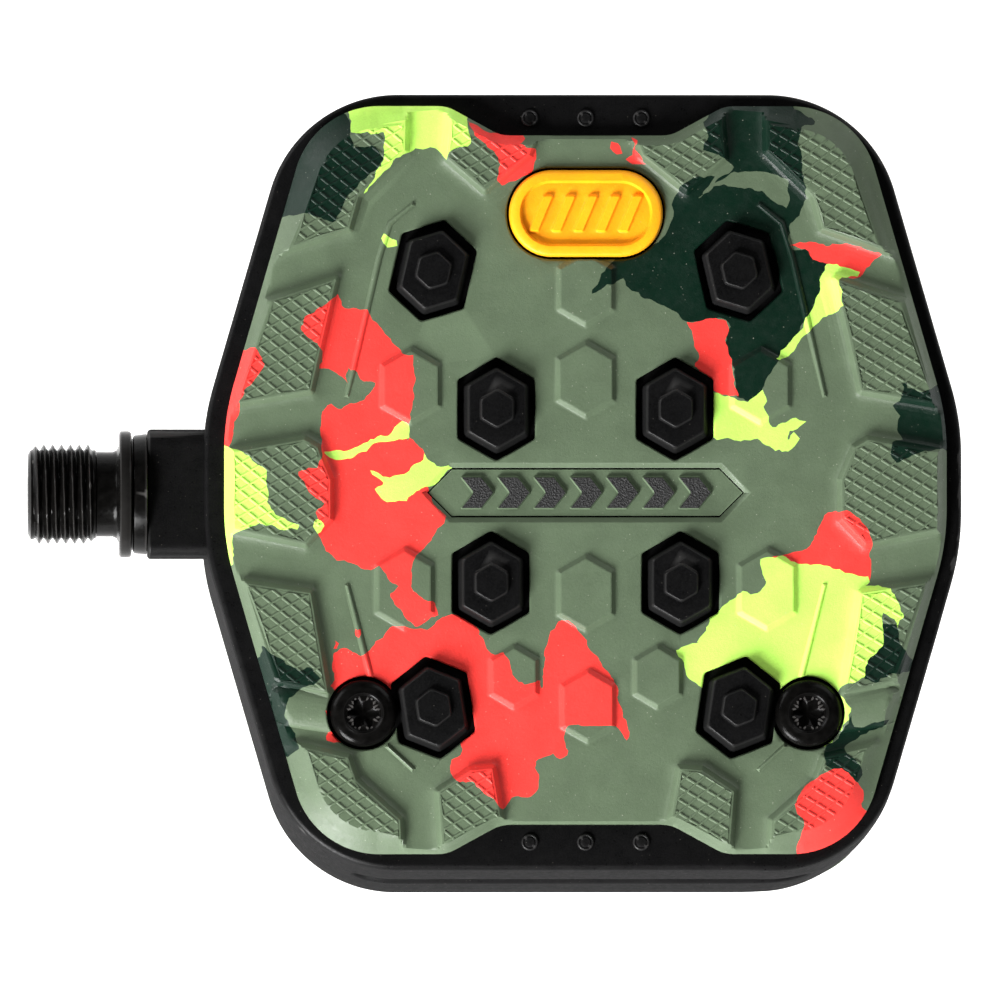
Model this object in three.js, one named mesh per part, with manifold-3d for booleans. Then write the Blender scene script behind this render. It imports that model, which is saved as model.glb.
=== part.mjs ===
// Flat mountain-bike pedal, right-hand (drive) side, double sided.
//
// Frame, in millimetres: +X runs along the axle away from the crank, +Y is towards the top edge of
// the platform and +Z is out of the top tread. The origin is on the axle's axis, in the plane of
// the shoulder that seats against the crank arm. The bottom face is the top face turned half a
// turn about the axle, so the platform balances on its axle.

import * as THREE from 'three';
import { mergeVertices } from 'three/addons/utils/BufferGeometryUtils.js';
import Module from 'manifold-3d';

const wasm = await Module();
wasm.setup();

// ---- driving dimensions ---------------------------------------------------------------------

const TURNED = 24;                 // facets round a turned piece
const SMALL_TURNED = 16;           // facets round a small turned piece
const PIP_FACETS = 8;
const INSERT_FACETS = 12;
const CURVE_STEPS = 3;             // facets along each rounded corner of an outline
const GAP = 0.3;                   // air between neighbours that only touch in the real assembly
const SLIP = 0.08;                 // radial clearance of a running or pressed turned fit
const THROUGH = 20;                // height of a cutter that goes out through the top

// platform body
const CENTRE_X = 66.4;             // middle of the platform along the axle
const HALF_WIDTH = 54.4;           // platform, along X
const HALF_LENGTH = 55.7;          // platform, along Y, before it is sheared
const SHEAR = 0.27;                // every level of the plate slides by this much of its height in Y
const SIDE_FLAT = 9.0;             // half height of the upright part of each end, before rounding
const CORNER_X = 40.8;             // where the slanted side would meet the straight front edge
const CORNER_ROUND = 19;
const SIDE_ROUND = 35;
const PLATE_TOP = 6.6;             // half thickness of the plate
const EDGE_ROUND = 1.2;
const GROOVE_HALF = 1.2;           // groove that parts the two halves along the straight edges
const GROOVE_DEPTH = 1.1;
const GROOVE_REACH = 31;

// boss round the axle at the crank side
const BOSS_START = 4.1;
const BOSS_END = 16;
const BOSS_WIDTH = 18.6;
const BOSS_HALF_HEIGHT = 6.2;

// tread pads; everything on a face is placed from the pad's own centre
const PAD_X = 66.8;
const PAD_Y = 2.0;
const PAD_BOTTOM = PLATE_TOP + GAP;
const PAD_FLOOR = 8.3;
const LUG_TOP = 10;
const HEX_TOP = 9.3;
const PAD_HALF_WIDTH = 51.8;
const PAD_HALF_LENGTH = 53.6;
const NOTCH_FLOOR = 49.4;          // pad stops here between its two lobes
const NOTCH_HALF = 12.2;
const NOTCH_MOUTH = 19.9;

// hexagonal studs of the body, [x from centre, y, lean in degrees]
const STUDS = [
  [-21.9, 30.0, -13], [21.9, 30.0, 13],
  [-12.8, 10.2, 0], [12.8, 10.2, 0],
  [-13.6, -14.7, 0], [13.6, -14.7, 0],
  [-21.9, -32.6, 8.4], [21.9, -32.6, -8.4],
];
const STUD_LEAN = 0.3;             // crown of a stud stands this far up Y from its foot
const PIP_Y = 51.9;                // row of pips in each notch
const PIPS = [-8, 0, 8];
const PIP_RADII = [1.2, 0.9];      // foot and crown
const PIP_TOP = PLATE_TOP + 0.5;
const ROOT = 1;                    // how deep a joined piece starts inside the plate
const STUD_TOP = 10.5;
const NUB_TOP = 11.3;
const STUD_HOLE = [11.1, 14.9];    // window in the pad, across and along
const STUD_BASE = [9.4, 12.7];
const STUD_CROWN = [7.9, 10.9];
const NUB_BASE = [4.9, 5.6];
const NUB_CROWN = [4.0, 4.7];

// pad screws and their inserts
const SCREW_X = 31.9;
const SCREW_Y = -33.4;
const SCREW_HEAD = 4.8;            // radius
const SCREW_SEAT = 8.0;
const SCREW_SHANK = 1.9;
const SCREW_TIP = 2.6;
const SCREW_WINDOW = 5.7;
const PAD_FLANGE = 0.8;            // rubber left under a screw's head
const INSERT_OUTER = 2.9;
const INSERT_INNER = 2.05;
const INSERT_BOTTOM = 1.8;
const INSERT_TOP = 6.4;

// square pockets that lighten the moulding
const POCKET_PITCH = 12.6;
const POCKET_HALF = 4.9;
const POCKET_FLOOR = 1.5;
const POCKET_WALL = 9.5;           // distance kept between a pocket's centre and a stud or screw
const POCKET_RIM = 6;
const POCKET_SLANT = 0.29;         // slope of the platform's slanted sides
const TUNNEL_WALL = 7.5;           // half width of the solid strip round the axle tunnel

// badge and grip strip
const BADGE_Y = 38.2;
const BADGE = [22.0, 12.4];
const BADGE_TOP = 9.5;
const BADGE_PLAY = 1.2;            // window of the badge, larger than the badge both ways
const BADGE_BORDER = 1.5;
const BADGE_BARS = [-2, -1, 0, 1, 2];
const BAR_PITCH = 3.2;
const BAR_REACH = 2.6;             // half length of a slanted bar, along Y
const STRIP_Y = -1.8;
const STRIP = [45, 6.6];
const STRIP_TOP = 7.6;
const STRIP_RAISED = 8.2;
const STRIP_PLAY = 0.5;
const CHEVRONS = 7;
const CHEVRON_PITCH = 5.2;
const CHEVRON_REACH = 2.4;         // half height of a chevron, along Y

// axle, distances along X and radii
const THREAD_TIP = -13.1;
const THREAD_END = -3.4;
const THREAD_PITCH = 1.27;         // 20 threads to the inch
const THREAD_CREST = 7.14;         // 9/16 inch thread
const THREAD_ROOT = 6.35;
const NECK = 6.35;
const FLANGE = 9.15;
const FLANGE_END = 1.8;
const COLLAR = 8.6;
const COLLAR_END = 3.85;
const JOURNAL = 4.2;
const JOURNAL_END = 28;
const SHAFT = 3.5;
const SHAFT_START = 33;
const BEARING_START = 104;
const BEARING_END = 109;
const SPIGOT = 2.5;
const AXLE_END = 115.5;
const WASHER_OUTER = 3.4;
const NUT_START = BEARING_END + 1.1;
const NUT_LENGTH = 4;
const NUT_ACROSS = 8;
const HEX_SOCKET = 8;              // across flats
const SOCKET_DEPTH = 9;

// outboard ball bearing, 5 x 11 x 5
const RACE_OUTER = 5.5;
const RACE_INNER = 2.5;
const BALL = 1.0;
const BALL_PITCH = 4.0;
const BALLS = 8;

// inboard bush and seal
const SEAL_START = 4.4;
const BUSH_START = 6.6;
const BUSH_END = 26;
const BUSH_OUTER = 5.1;

// outboard end cap
const CAP_BORE = RACE_OUTER + SLIP;
const CAP_START = 116.3;
const CAP_END = CENTRE_X + HALF_WIDTH - 0.4;

// ---- materials --------------------------------------------------------------------------------

const finish = (color, roughness, metalness) =>
  new THREE.MeshStandardMaterial({ color, roughness, metalness });
const COMPOSITE = finish(0x191a1b, 0.55, 0);
const TREAD_RUBBER = finish(0x687a5f, 0.6, 0);
const BADGE_RUBBER = finish(0xf6b323, 0.45, 0);
const GRIT = finish(0x141515, 0.9, 0);
const BLACK_STEEL = finish(0x121212, 0.35, 0.8);
const BRIGHT_STEEL = finish(0xb9bcc0, 0.3, 1);
const BRASS = finish(0xb08d48, 0.35, 1);
const NYLON = finish(0xd9d4c3, 0.5, 0);
const SEAL_RUBBER = finish(0x0f0f10, 0.7, 0);
const BEARING_POLYMER = finish(0x8a8f3c, 0.6, 0);

// ---- geometry helpers -------------------------------------------------------------------------

// Keeps only positions, joins equal vertices and turns the faces outwards.
function closed(geometry) {
  const bare = geometry.index ? geometry.toNonIndexed() : geometry.clone();
  bare.deleteAttribute('normal');
  bare.deleteAttribute('uv');
  const merged = mergeVertices(bare, 1e-4);
  const position = merged.attributes.position;
  const old = merged.index.array;
  const corner = [0, 1, 2].map(() => new THREE.Vector3());
  const kept = [];
  let volume = 0;
  for (let i = 0; i < old.length; i += 3) {
    const [a, b, c] = [old[i], old[i + 1], old[i + 2]];
    if (a === b || b === c || c === a) {
      continue;
    }
    kept.push(a, b, c);
    corner.forEach((v, k) => v.fromBufferAttribute(position, old[i + k]));
    volume += corner[0].dot(corner[1].cross(corner[2]));
  }
  if (volume < 0) {
    kept.reverse();
  }
  merged.setIndex(kept);
  return merged;
}

function solid(geometry) {
  const merged = closed(geometry);
  return new wasm.Manifold(new wasm.Mesh({
    numProp: 3,
    vertProperties: new Float32Array(merged.attributes.position.array),
    triVerts: new Uint32Array(merged.index.array),
  }));
}

function geometryOf(body) {
  const mesh = body.getMesh();
  const geometry = new THREE.BufferGeometry();
  const places = new Float32Array(mesh.vertProperties);
  geometry.setAttribute('position', new THREE.BufferAttribute(places, 3));
  geometry.setIndex(new THREE.BufferAttribute(new Uint32Array(mesh.triVerts), 1));
  return geometry;
}

const join = (pieces) => pieces.reduce((all, piece) => all.add(piece));
const cut = (body, tools) => tools.reduce((left, tool) => left.subtract(tool), body);

// Straight prism of a shape in the XY plane between two heights.
function prism(shape, bottom, top) {
  const geometry = new THREE.ExtrudeGeometry(shape, {
    depth: top - bottom, bevelEnabled: false, curveSegments: CURVE_STEPS,
  });
  return geometry.translate(0, 0, bottom);
}

// Prism whose upper edge is sloped inwards by `slope` over its last `rise`. The bevel that the
// extrusion also puts under the prism is pressed flat into its lower face.
function slopedPrism(shape, bottom, top, slope, rise) {
  const geometry = new THREE.ExtrudeGeometry(shape, {
    depth: top - bottom - rise, bevelEnabled: true, bevelThickness: rise,
    bevelSize: slope, bevelOffset: -slope, bevelSegments: 1, curveSegments: CURVE_STEPS,
  });
  const position = geometry.attributes.position;
  for (let i = 0; i < position.count; i += 1) {
    position.setZ(i, Math.max(0, position.getZ(i)));
  }
  return geometry.translate(0, 0, bottom);
}

// Piece turned about the X axis; the profile is [x, radius] pairs that start and end on the axis
// or close on themselves.
function turned(profile, facets = TURNED) {
  const points = profile.map(([x, r]) => new THREE.Vector2(r, x));
  return new THREE.LatheGeometry(points, facets).rotateZ(-Math.PI / 2);
}

// Ring of rectangular section about the X axis.
function ring(start, end, inner, outer, facets = TURNED) {
  return turned([[start, inner], [end, inner], [end, outer], [start, outer], [start, inner]], facets);
}

function rod(start, end, radius, facets = TURNED) {
  return turned([[start, 0], [start, radius], [end, radius], [end, 0]], facets);
}

// Piece turned about an upright axis through (x, y); the profile is [radius, z] pairs.
function turnedUpright(profile, x, y, facets = SMALL_TURNED) {
  const points = profile.map(([r, z]) => new THREE.Vector2(r, z));
  return new THREE.LatheGeometry(points, facets).rotateX(Math.PI / 2).translate(x, y, 0);
}

// Drill that goes down to `bottom` round an upright axis through (x, y).
function uprightDrill(bottom, radius, x, y) {
  return turnedUpright([[0, bottom], [radius, bottom], [radius, THROUGH], [0, THROUGH]], x, y);
}

// Stack of convex rings of equal point count, [[points], z], capped by fans.
function loft(rings) {
  const count = rings[0][0].length;
  const vertices = [];
  const faces = [];
  for (const [points, z] of rings) {
    points.forEach(([x, y]) => vertices.push(x, y, z));
  }
  for (let level = 0; level + 1 < rings.length; level += 1) {
    for (let i = 0; i < count; i += 1) {
      const next = (i + 1) % count;
      const low = level * count;
      const high = low + count;
      faces.push(low + i, low + next, high + next, low + i, high + next, high + i);
    }
  }
  const top = (rings.length - 1) * count;
  for (let i = 1; i + 1 < count; i += 1) {
    faces.push(0, i + 1, i);
    faces.push(top, top + i, top + i + 1);
  }
  const geometry = new THREE.BufferGeometry();
  geometry.setAttribute('position', new THREE.Float32BufferAttribute(vertices, 3));
  geometry.setIndex(faces);
  return geometry;
}

// Hexagon with a point at top and bottom, `across` wide and `along` high, leaning by `lean` degrees.
function hexagon([across, along], x = 0, y = 0, lean = 0) {
  const turn = THREE.MathUtils.degToRad(lean);
  const shoulder = along / 2 - across / 2 / Math.sqrt(3);
  const corners = [
    [0, along / 2], [-across / 2, shoulder], [-across / 2, -shoulder],
    [0, -along / 2], [across / 2, -shoulder], [across / 2, shoulder],
  ];
  return corners.map(([u, v]) => [
    x + u * Math.cos(turn) - v * Math.sin(turn),
    y + u * Math.sin(turn) + v * Math.cos(turn),
  ]);
}

const shapeOf = (points) => new THREE.Shape(points.map(([x, y]) => new THREE.Vector2(x, y)));
const mirrored = (points) => points.map(([x, y]) => [-x, y]).reverse();

// Closed polygon whose corners are rounded, each corner as [x, y, radius].
function roundedShape(corners) {
  const shape = new THREE.Shape();
  const at = ([x, y]) => new THREE.Vector2(x, y);
  corners.forEach((corner, i) => {
    const here = at(corner);
    const before = at(corners[(i + corners.length - 1) % corners.length]).sub(here);
    const after = at(corners[(i + 1) % corners.length]).sub(here);
    const room = 0.49 * Math.min(before.length(), after.length());
    before.normalize();
    after.normalize();
    const half = before.angleTo(after) / 2;
    const reach = Math.min(corner[2] / Math.tan(half), room);
    const radius = reach * Math.tan(half);
    const inward = before.clone().add(after).normalize();
    const centre = here.clone().addScaledVector(inward, radius / Math.sin(half));
    const start = here.clone().addScaledVector(before, reach).sub(centre).angle();
    const end = here.clone().addScaledVector(after, reach).sub(centre).angle();
    shape.absarc(centre.x, centre.y, radius, start, end, before.cross(after) > 0);
  });
  shape.closePath();
  return shape;
}

function stadium(width, height, x = 0, y = 0) {
  const r = height / 2;
  const shape = new THREE.Shape();
  shape.absarc(x + width / 2 - r, y, r, -Math.PI / 2, Math.PI / 2);
  shape.absarc(x - width / 2 + r, y, r, Math.PI / 2, 3 * Math.PI / 2);
  shape.closePath();
  return shape;
}

// ---- platform body ----------------------------------------------------------------------------

// Outline of the platform about its own centre, moved inwards by `inset`.
function platformOutline(inset = 0) {
  const w = HALF_WIDTH - inset;
  const h = HALF_LENGTH - inset;
  const c = CORNER_X - inset * 0.75;
  const quarter = [
    [w, SIDE_FLAT, SIDE_ROUND], [c, h, CORNER_ROUND - inset],
    [-c, h, CORNER_ROUND - inset], [-w, SIDE_FLAT, SIDE_ROUND],
  ];
  return [...quarter, ...quarter.map(([x, y, r]) => [-x, -y, r])];
}

// Slides every level of a geometry along Y in proportion to its height.
function sheared(geometry) {
  const shear = new THREE.Matrix4().makeShear(0, 0, 0, 0, 0, SHEAR);
  return geometry.applyMatrix4(shear);
}

function plate() {
  const geometry = new THREE.ExtrudeGeometry(roundedShape(platformOutline()), {
    depth: 2 * (PLATE_TOP - EDGE_ROUND), bevelEnabled: true, bevelThickness: EDGE_ROUND,
    bevelSize: EDGE_ROUND, bevelOffset: -EDGE_ROUND, bevelSegments: 2, curveSegments: CURVE_STEPS + 2,
  });
  return solid(sheared(geometry.translate(CENTRE_X, 0, -PLATE_TOP + EDGE_ROUND)));
}

// Groove cutters along the two straight edges, with pointed ends.
function edgeGrooves() {
  const reach = GROOVE_REACH;
  const outer = HALF_LENGTH + 2;
  const inner = HALF_LENGTH - GROOVE_DEPTH;
  const half = [[-reach - 4, outer], [-reach, inner], [reach, inner], [reach + 4, outer]];
  return [1, -1].map((side) => {
    const points = half.map(([x, y]) => [CENTRE_X + x, side * y]);
    return solid(prism(shapeOf(points), -GROOVE_HALF, GROOVE_HALF));
  });
}

// Boss round the axle at the crank side, a box with eased corners drawn along X.
function axleBoss() {
  const w = BOSS_WIDTH / 2;
  const h = BOSS_HALF_HEIGHT;
  const section = roundedShape([[w, -h, 3], [w, h, 3], [-w, h, 3], [-w, -h, 3]]);
  const geometry = slopedPrism(section, 0, BOSS_END - BOSS_START, 0.5, 0.5);
  return solid(geometry.rotateZ(Math.PI / 2).rotateY(-Math.PI / 2).translate(BOSS_END, 0, 0));
}

// One hexagonal stud with the small raised hexagon on its crown.
function stud([x, y, lean]) {
  const at = (size, slide) => hexagon(size, PAD_X + x, PAD_Y + y + slide, lean);
  const tower = loft([
    [at(STUD_BASE, -STUD_LEAN), PLATE_TOP - ROOT], [at(STUD_BASE, -STUD_LEAN), PLATE_TOP],
    [at([STUD_BASE[0] - 0.4, STUD_BASE[1] - 0.5], 0), STUD_TOP - 0.7], [at(STUD_CROWN, 0), STUD_TOP],
  ]);
  const nub = loft([
    [at(NUB_BASE, 0), STUD_TOP - 0.6], [at(NUB_BASE, 0), STUD_TOP + 0.3], [at(NUB_CROWN, 0), NUB_TOP],
  ]);
  return [tower, nub];
}

// Three low round pips in each notch of the tread.
function notchPips() {
  const pips = [];
  for (const side of [1, -1]) {
    for (const x of PIPS) {
      const [foot, crown] = PIP_RADII;
      const profile = [[0, PLATE_TOP - ROOT], [foot, PLATE_TOP - ROOT], [crown, PIP_TOP], [0, PIP_TOP]];
      pips.push(turnedUpright(profile, PAD_X + x, PAD_Y + side * PIP_Y, PIP_FACETS));
    }
  }
  return pips;
}

// Axes of the pad screws on the top face.
const screwPlaces = [-SCREW_X, SCREW_X].map((x) => [PAD_X + x, PAD_Y + SCREW_Y]);

// Square pockets that lighten the moulding under the pads, left out near studs, screws, the axle
// tunnel and the rim.
function lighteningPockets() {
  const pockets = [];
  const away = (x, y, px, py) => Math.hypot(x - px, y - py) > POCKET_WALL;
  const half = POCKET_HALF;
  for (let column = -3; column <= 3; column += 1) {
    for (let row = -3; row <= 3; row += 1) {
      const x = column * POCKET_PITCH;
      const y = row * POCKET_PITCH;
      const inRim = Math.abs(x) + half < HALF_WIDTH - POCKET_RIM - POCKET_SLANT * Math.abs(y)
        && Math.abs(y) + half < NOTCH_FLOOR - 4;
      const clear = Math.abs(y) - half > TUNNEL_WALL
        && STUDS.every(([sx, sy]) => away(x, y, sx, sy + PAD_Y))
        && away(Math.abs(x), y, SCREW_X, SCREW_Y + PAD_Y)
        && away(Math.abs(x), -y, SCREW_X, SCREW_Y + PAD_Y);
      if (inRim && clear) {
        const left = CENTRE_X + x - half;
        const right = CENTRE_X + x + half;
        const corners = [[left, y - half], [right, y - half], [right, y + half], [left, y + half]];
        pockets.push(prism(shapeOf(corners), POCKET_FLOOR, PLATE_TOP + 1));
      }
    }
  }
  return pockets;
}

const bothFaces = (geometries) => geometries.flatMap((g) => [g, g.clone().rotateX(Math.PI)]);

function pedalBody() {
  const added = [
    plate(), axleBoss(),
    ...bothFaces(STUDS.flatMap(stud)).map(solid),
    ...bothFaces(notchPips()).map(solid),
  ];
  const insertBores = screwPlaces.map(([x, y]) => {
    const r = INSERT_OUTER + SLIP;
    const floor = INSERT_BOTTOM - 2 * GAP;
    return turnedUpright([[0, floor], [r, floor], [r, PLATE_TOP + 1], [0, PLATE_TOP + 1]], x, y);
  });
  const bore = turned([
    [BOSS_START - 1, 0], [BOSS_START - 1, BUSH_OUTER + SLIP], [BUSH_END + GAP, BUSH_OUTER + SLIP],
    [BUSH_END + GAP, JOURNAL + 0.5], [BEARING_START - GAP, JOURNAL + 0.5],
    [BEARING_START - GAP, CAP_BORE], [CENTRE_X + HALF_WIDTH + 1, CAP_BORE], [CENTRE_X + HALF_WIDTH + 1, 0],
  ]);
  return cut(join(added), [
    solid(bore), ...edgeGrooves(), ...bothFaces(insertBores).map(solid),
    ...bothFaces(lighteningPockets()).map(solid),
  ]);
}

// ---- tread pad --------------------------------------------------------------------------------

// Outline of a pad about the platform's centre: the platform's outline moved in, with a notch in
// the middle of each straight edge.
function padOutline(inset = 0) {
  const w = PAD_HALF_WIDTH - inset;
  const h = PAD_HALF_LENGTH - inset;
  const c = CORNER_X - 1.9 - inset * 0.75;
  const n = NOTCH_FLOOR - inset;
  const notch = NOTCH_HALF + inset * 0.3;
  const upper = [
    [w, SIDE_FLAT, SIDE_ROUND], [c, h, CORNER_ROUND - 2 - inset], [NOTCH_MOUTH, h, 5],
    [notch, n, 5], [-notch, n, 5], [-NOTCH_MOUTH, h, 5],
    [-c, h, CORNER_ROUND - 2 - inset], [-w, SIDE_FLAT, SIDE_ROUND],
  ];
  return [...upper, ...upper.map(([x, y, r]) => [-x, -y, r])];
}

// Gripping lugs down the left side of a pad; the right side mirrors them. Outer corners run past
// the edge of the pad and are trimmed to it.
const SIDE_LUGS = [
  [[-52, 35], [-44.3, 31.8], [-33.4, 35.5], [-32.0, 40.4], [-25.3, 46.9], [-25.1, 60], [-52, 60]],
  [[-34.9, 29.8], [-60, 21.5], [-60, 8.6], [-38.9, 12.0]],
  [[-40.3, 6.2], [-60, 2.6], [-60, -5.6], [-39.9, -10.4], [-36, -6.4], [-36, -0.2], [-38, 4.8]],
  [[-38.9, -16.2], [-60, -13], [-60, -34.0], [-45, -30.0], [-36.2, -32.4]],
  [[-60, -33], [-41, -38.1], [-33.6, -40], [-32.4, -43.2], [-26.1, -49.2], [-25.8, -60], [-60, -60]],
];
const SMALL_LUGS = [
  [[-19.4, 60], [-20.6, 45.9], [-14.5, 40.6], [-7.6, 46.2], [-6.2, 50], [-6.2, 60]],
  [[-20.7, -60], [-21.9, -44.3], [-16.8, -40.9], [-12.9, -40.6], [-11.4, -49.5], [-11, -60]],
];

// Raised hexagons, [x, y, across, along]; pairs off the centre line are mirrored.
const CENTRE_HEXES = [
  [0, 27.4, 8.4, 11.0], [0, 14.4, 8.6, 11.2], [0, -16.2, 8.4, 11.2], [0.3, -32.4, 8.0, 10.8],
];
const SIDE_HEXES = [[25.1, 13.5, 8.8, 11.2], [26.0, -15.6, 8.6, 12.0], [10.3, -28.2, 7.2, 9.4]];
const HEX_SLOPE = [1.6, 1.8];      // a raised hexagon's crown is this much smaller than its foot

// Thin ribs, polylines on the left side, mirrored on the right.
const RIBS = [
  [[-24.8, 39.1], [-28.1, 36.3], [-29.6, 31.6], [-34.2, 13.4]],
  [[-34.3, -16], [-30.9, -28.4]],
];
const RIB_HALF = 0.5;

function ribPieces(line) {
  const pieces = [];
  for (let i = 0; i + 1 < line.length; i += 1) {
    const [ax, ay] = line[i];
    const [bx, by] = line[i + 1];
    const length = Math.hypot(bx - ax, by - ay);
    const [ux, uy] = [(bx - ax) / length * RIB_HALF, (by - ay) / length * RIB_HALF];
    pieces.push([[ax - ux - uy, ay - uy + ux], [ax - ux + uy, ay - uy - ux],
      [bx + ux + uy, by + uy - ux], [bx + ux - uy, by + uy + ux]]);
  }
  return pieces;
}

function treadPad() {
  const base = solid(slopedPrism(roundedShape(padOutline()), PAD_BOTTOM, PAD_FLOOR, 0.5, 0.5));
  const withMirror = (outlines) => outlines.flatMap((points) => [points, mirrored(points)]);
  const lugs = withMirror([...SIDE_LUGS, ...SMALL_LUGS])
    .map((points) => solid(slopedPrism(shapeOf(points), PAD_FLOOR - 0.8, LUG_TOP, 0.5, 1.2)));
  const hexes = [...CENTRE_HEXES, ...SIDE_HEXES, ...SIDE_HEXES.map(([x, ...rest]) => [-x, ...rest])]
    .map(([x, y, across, along]) => solid(loft([
      [hexagon([across, along], x, y), PAD_FLOOR - 0.8], [hexagon([across, along], x, y), PAD_FLOOR],
      [hexagon([across - HEX_SLOPE[0], along - HEX_SLOPE[1]], x, y), HEX_TOP],
    ])));
  const ribs = withMirror(RIBS.flatMap(ribPieces))
    .map((points) => solid(prism(shapeOf(points), PAD_FLOOR - 0.8, PAD_FLOOR + 0.6)));
  const trim = solid(slopedPrism(roundedShape(padOutline(0.9)), PAD_BOTTOM, LUG_TOP + 1, 1.0, 1.4));
  const windows = [
    ...STUDS.map(([x, y, lean]) => prism(shapeOf(hexagon(STUD_HOLE, x, y, lean)), 0, THROUGH)),
    prism(stadium(BADGE[0] + BADGE_PLAY, BADGE[1] + BADGE_PLAY, 0, BADGE_Y), 0, THROUGH),
    prism(stripShape(STRIP_PLAY), 0, THROUGH),
    ...[-SCREW_X, SCREW_X].flatMap((x) => [
      uprightDrill(PAD_BOTTOM + PAD_FLANGE, SCREW_WINDOW, x, SCREW_Y),
      uprightDrill(0, SCREW_SHANK + 0.5, x, SCREW_Y),
    ]),
  ];
  const raised = join([...lugs, ...hexes, ...ribs]).intersect(trim);
  return cut(base.add(raised), windows.map(solid)).translate([PAD_X, PAD_Y, 0]);
}

// ---- badge and grip strip ---------------------------------------------------------------------

function badge() {
  const [width, height] = BADGE;
  const blank = solid(slopedPrism(stadium(width, height, 0, BADGE_Y), PAD_BOTTOM, BADGE_TOP, 0.6, 0.6));
  const inner = stadium(width - 2 * BADGE_BORDER, height - 2 * BADGE_BORDER, 0, BADGE_Y);
  const field = solid(prism(inner, BADGE_TOP - 0.8, BADGE_TOP + 1));
  const bars = BADGE_BARS.map((k) => {
    const x = k * BAR_PITCH;
    const low = BADGE_Y - BAR_REACH;
    const high = BADGE_Y + BAR_REACH;
    const points = [[x - 1.1, low], [x + 0.1, low], [x + 1.1, high], [x - 0.1, high]];
    return solid(prism(shapeOf(points), BADGE_TOP - 1, BADGE_TOP - 0.1));
  });
  return blank.subtract(field).add(join(bars)).translate([PAD_X, PAD_Y, 0]);
}

// Outline of the grip strip, a bar with pointed ends, grown by `grow`.
function stripShape(grow = 0) {
  const w = STRIP[0] / 2 + grow;
  const h = STRIP[1] / 2 + grow;
  return shapeOf([[-w, STRIP_Y], [-w + h, STRIP_Y - h], [w - h, STRIP_Y - h], [w, STRIP_Y],
    [w - h, STRIP_Y + h], [-w + h, STRIP_Y + h]]);
}

function gripStrip() {
  const blank = solid(prism(stripShape(), PAD_BOTTOM, STRIP_TOP));
  const chevrons = [];
  for (let k = 0; k < CHEVRONS; k += 1) {
    const x = (k - (CHEVRONS - 1) / 2) * CHEVRON_PITCH - 1;
    const low = STRIP_Y - CHEVRON_REACH;
    const high = STRIP_Y + CHEVRON_REACH;
    const points = [[x - 1.5, high], [x + 0.4, STRIP_Y], [x - 1.5, low],
      [x + 1.6, low], [x + 3.5, STRIP_Y], [x + 1.6, high]];
    chevrons.push(solid(prism(shapeOf(points), STRIP_TOP - 0.3, STRIP_RAISED)));
  }
  return blank.add(join(chevrons)).translate([PAD_X, PAD_Y, 0]);
}

// ---- fasteners --------------------------------------------------------------------------------

// Button-head screw with a six-lobed drive.
function padScrew(x, y) {
  const head = SCREW_HEAD;
  const blank = solid(turnedUpright([
    [0, SCREW_TIP], [SCREW_SHANK - 0.4, SCREW_TIP], [SCREW_SHANK, SCREW_TIP + 0.4],
    [SCREW_SHANK, SCREW_SEAT], [head, SCREW_SEAT], [head, SCREW_SEAT + 0.5],
    [head * 0.9, SCREW_SEAT + 1.2], [head * 0.7, SCREW_SEAT + 1.7], [head * 0.62, SCREW_SEAT + 1.8],
    [0, SCREW_SEAT + 1.8],
  ], x, y));
  const lobes = 6;
  const star = [];
  for (let i = 0; i < lobes * 2; i += 1) {
    const angle = i / (lobes * 2) * 2 * Math.PI;
    const r = 1.95 + 0.3 * Math.cos(lobes * angle);
    star.push([x + r * Math.cos(angle), y + r * Math.sin(angle)]);
  }
  return blank.subtract(solid(prism(shapeOf(star), SCREW_SEAT + 0.2, SCREW_SEAT + 3)));
}

function threadedInsert(x, y) {
  const waist = (INSERT_BOTTOM + INSERT_TOP) / 2;
  return turnedUpright([
    [INSERT_INNER, INSERT_BOTTOM], [INSERT_OUTER, INSERT_BOTTOM], [INSERT_OUTER, waist - 0.6],
    [INSERT_OUTER - 0.4, waist], [INSERT_OUTER, waist + 0.6],
    [INSERT_OUTER, INSERT_TOP], [INSERT_INNER, INSERT_TOP], [INSERT_INNER, INSERT_BOTTOM],
  ], x, y, INSERT_FACETS);
}

// ---- axle and bearings ------------------------------------------------------------------------

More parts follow.
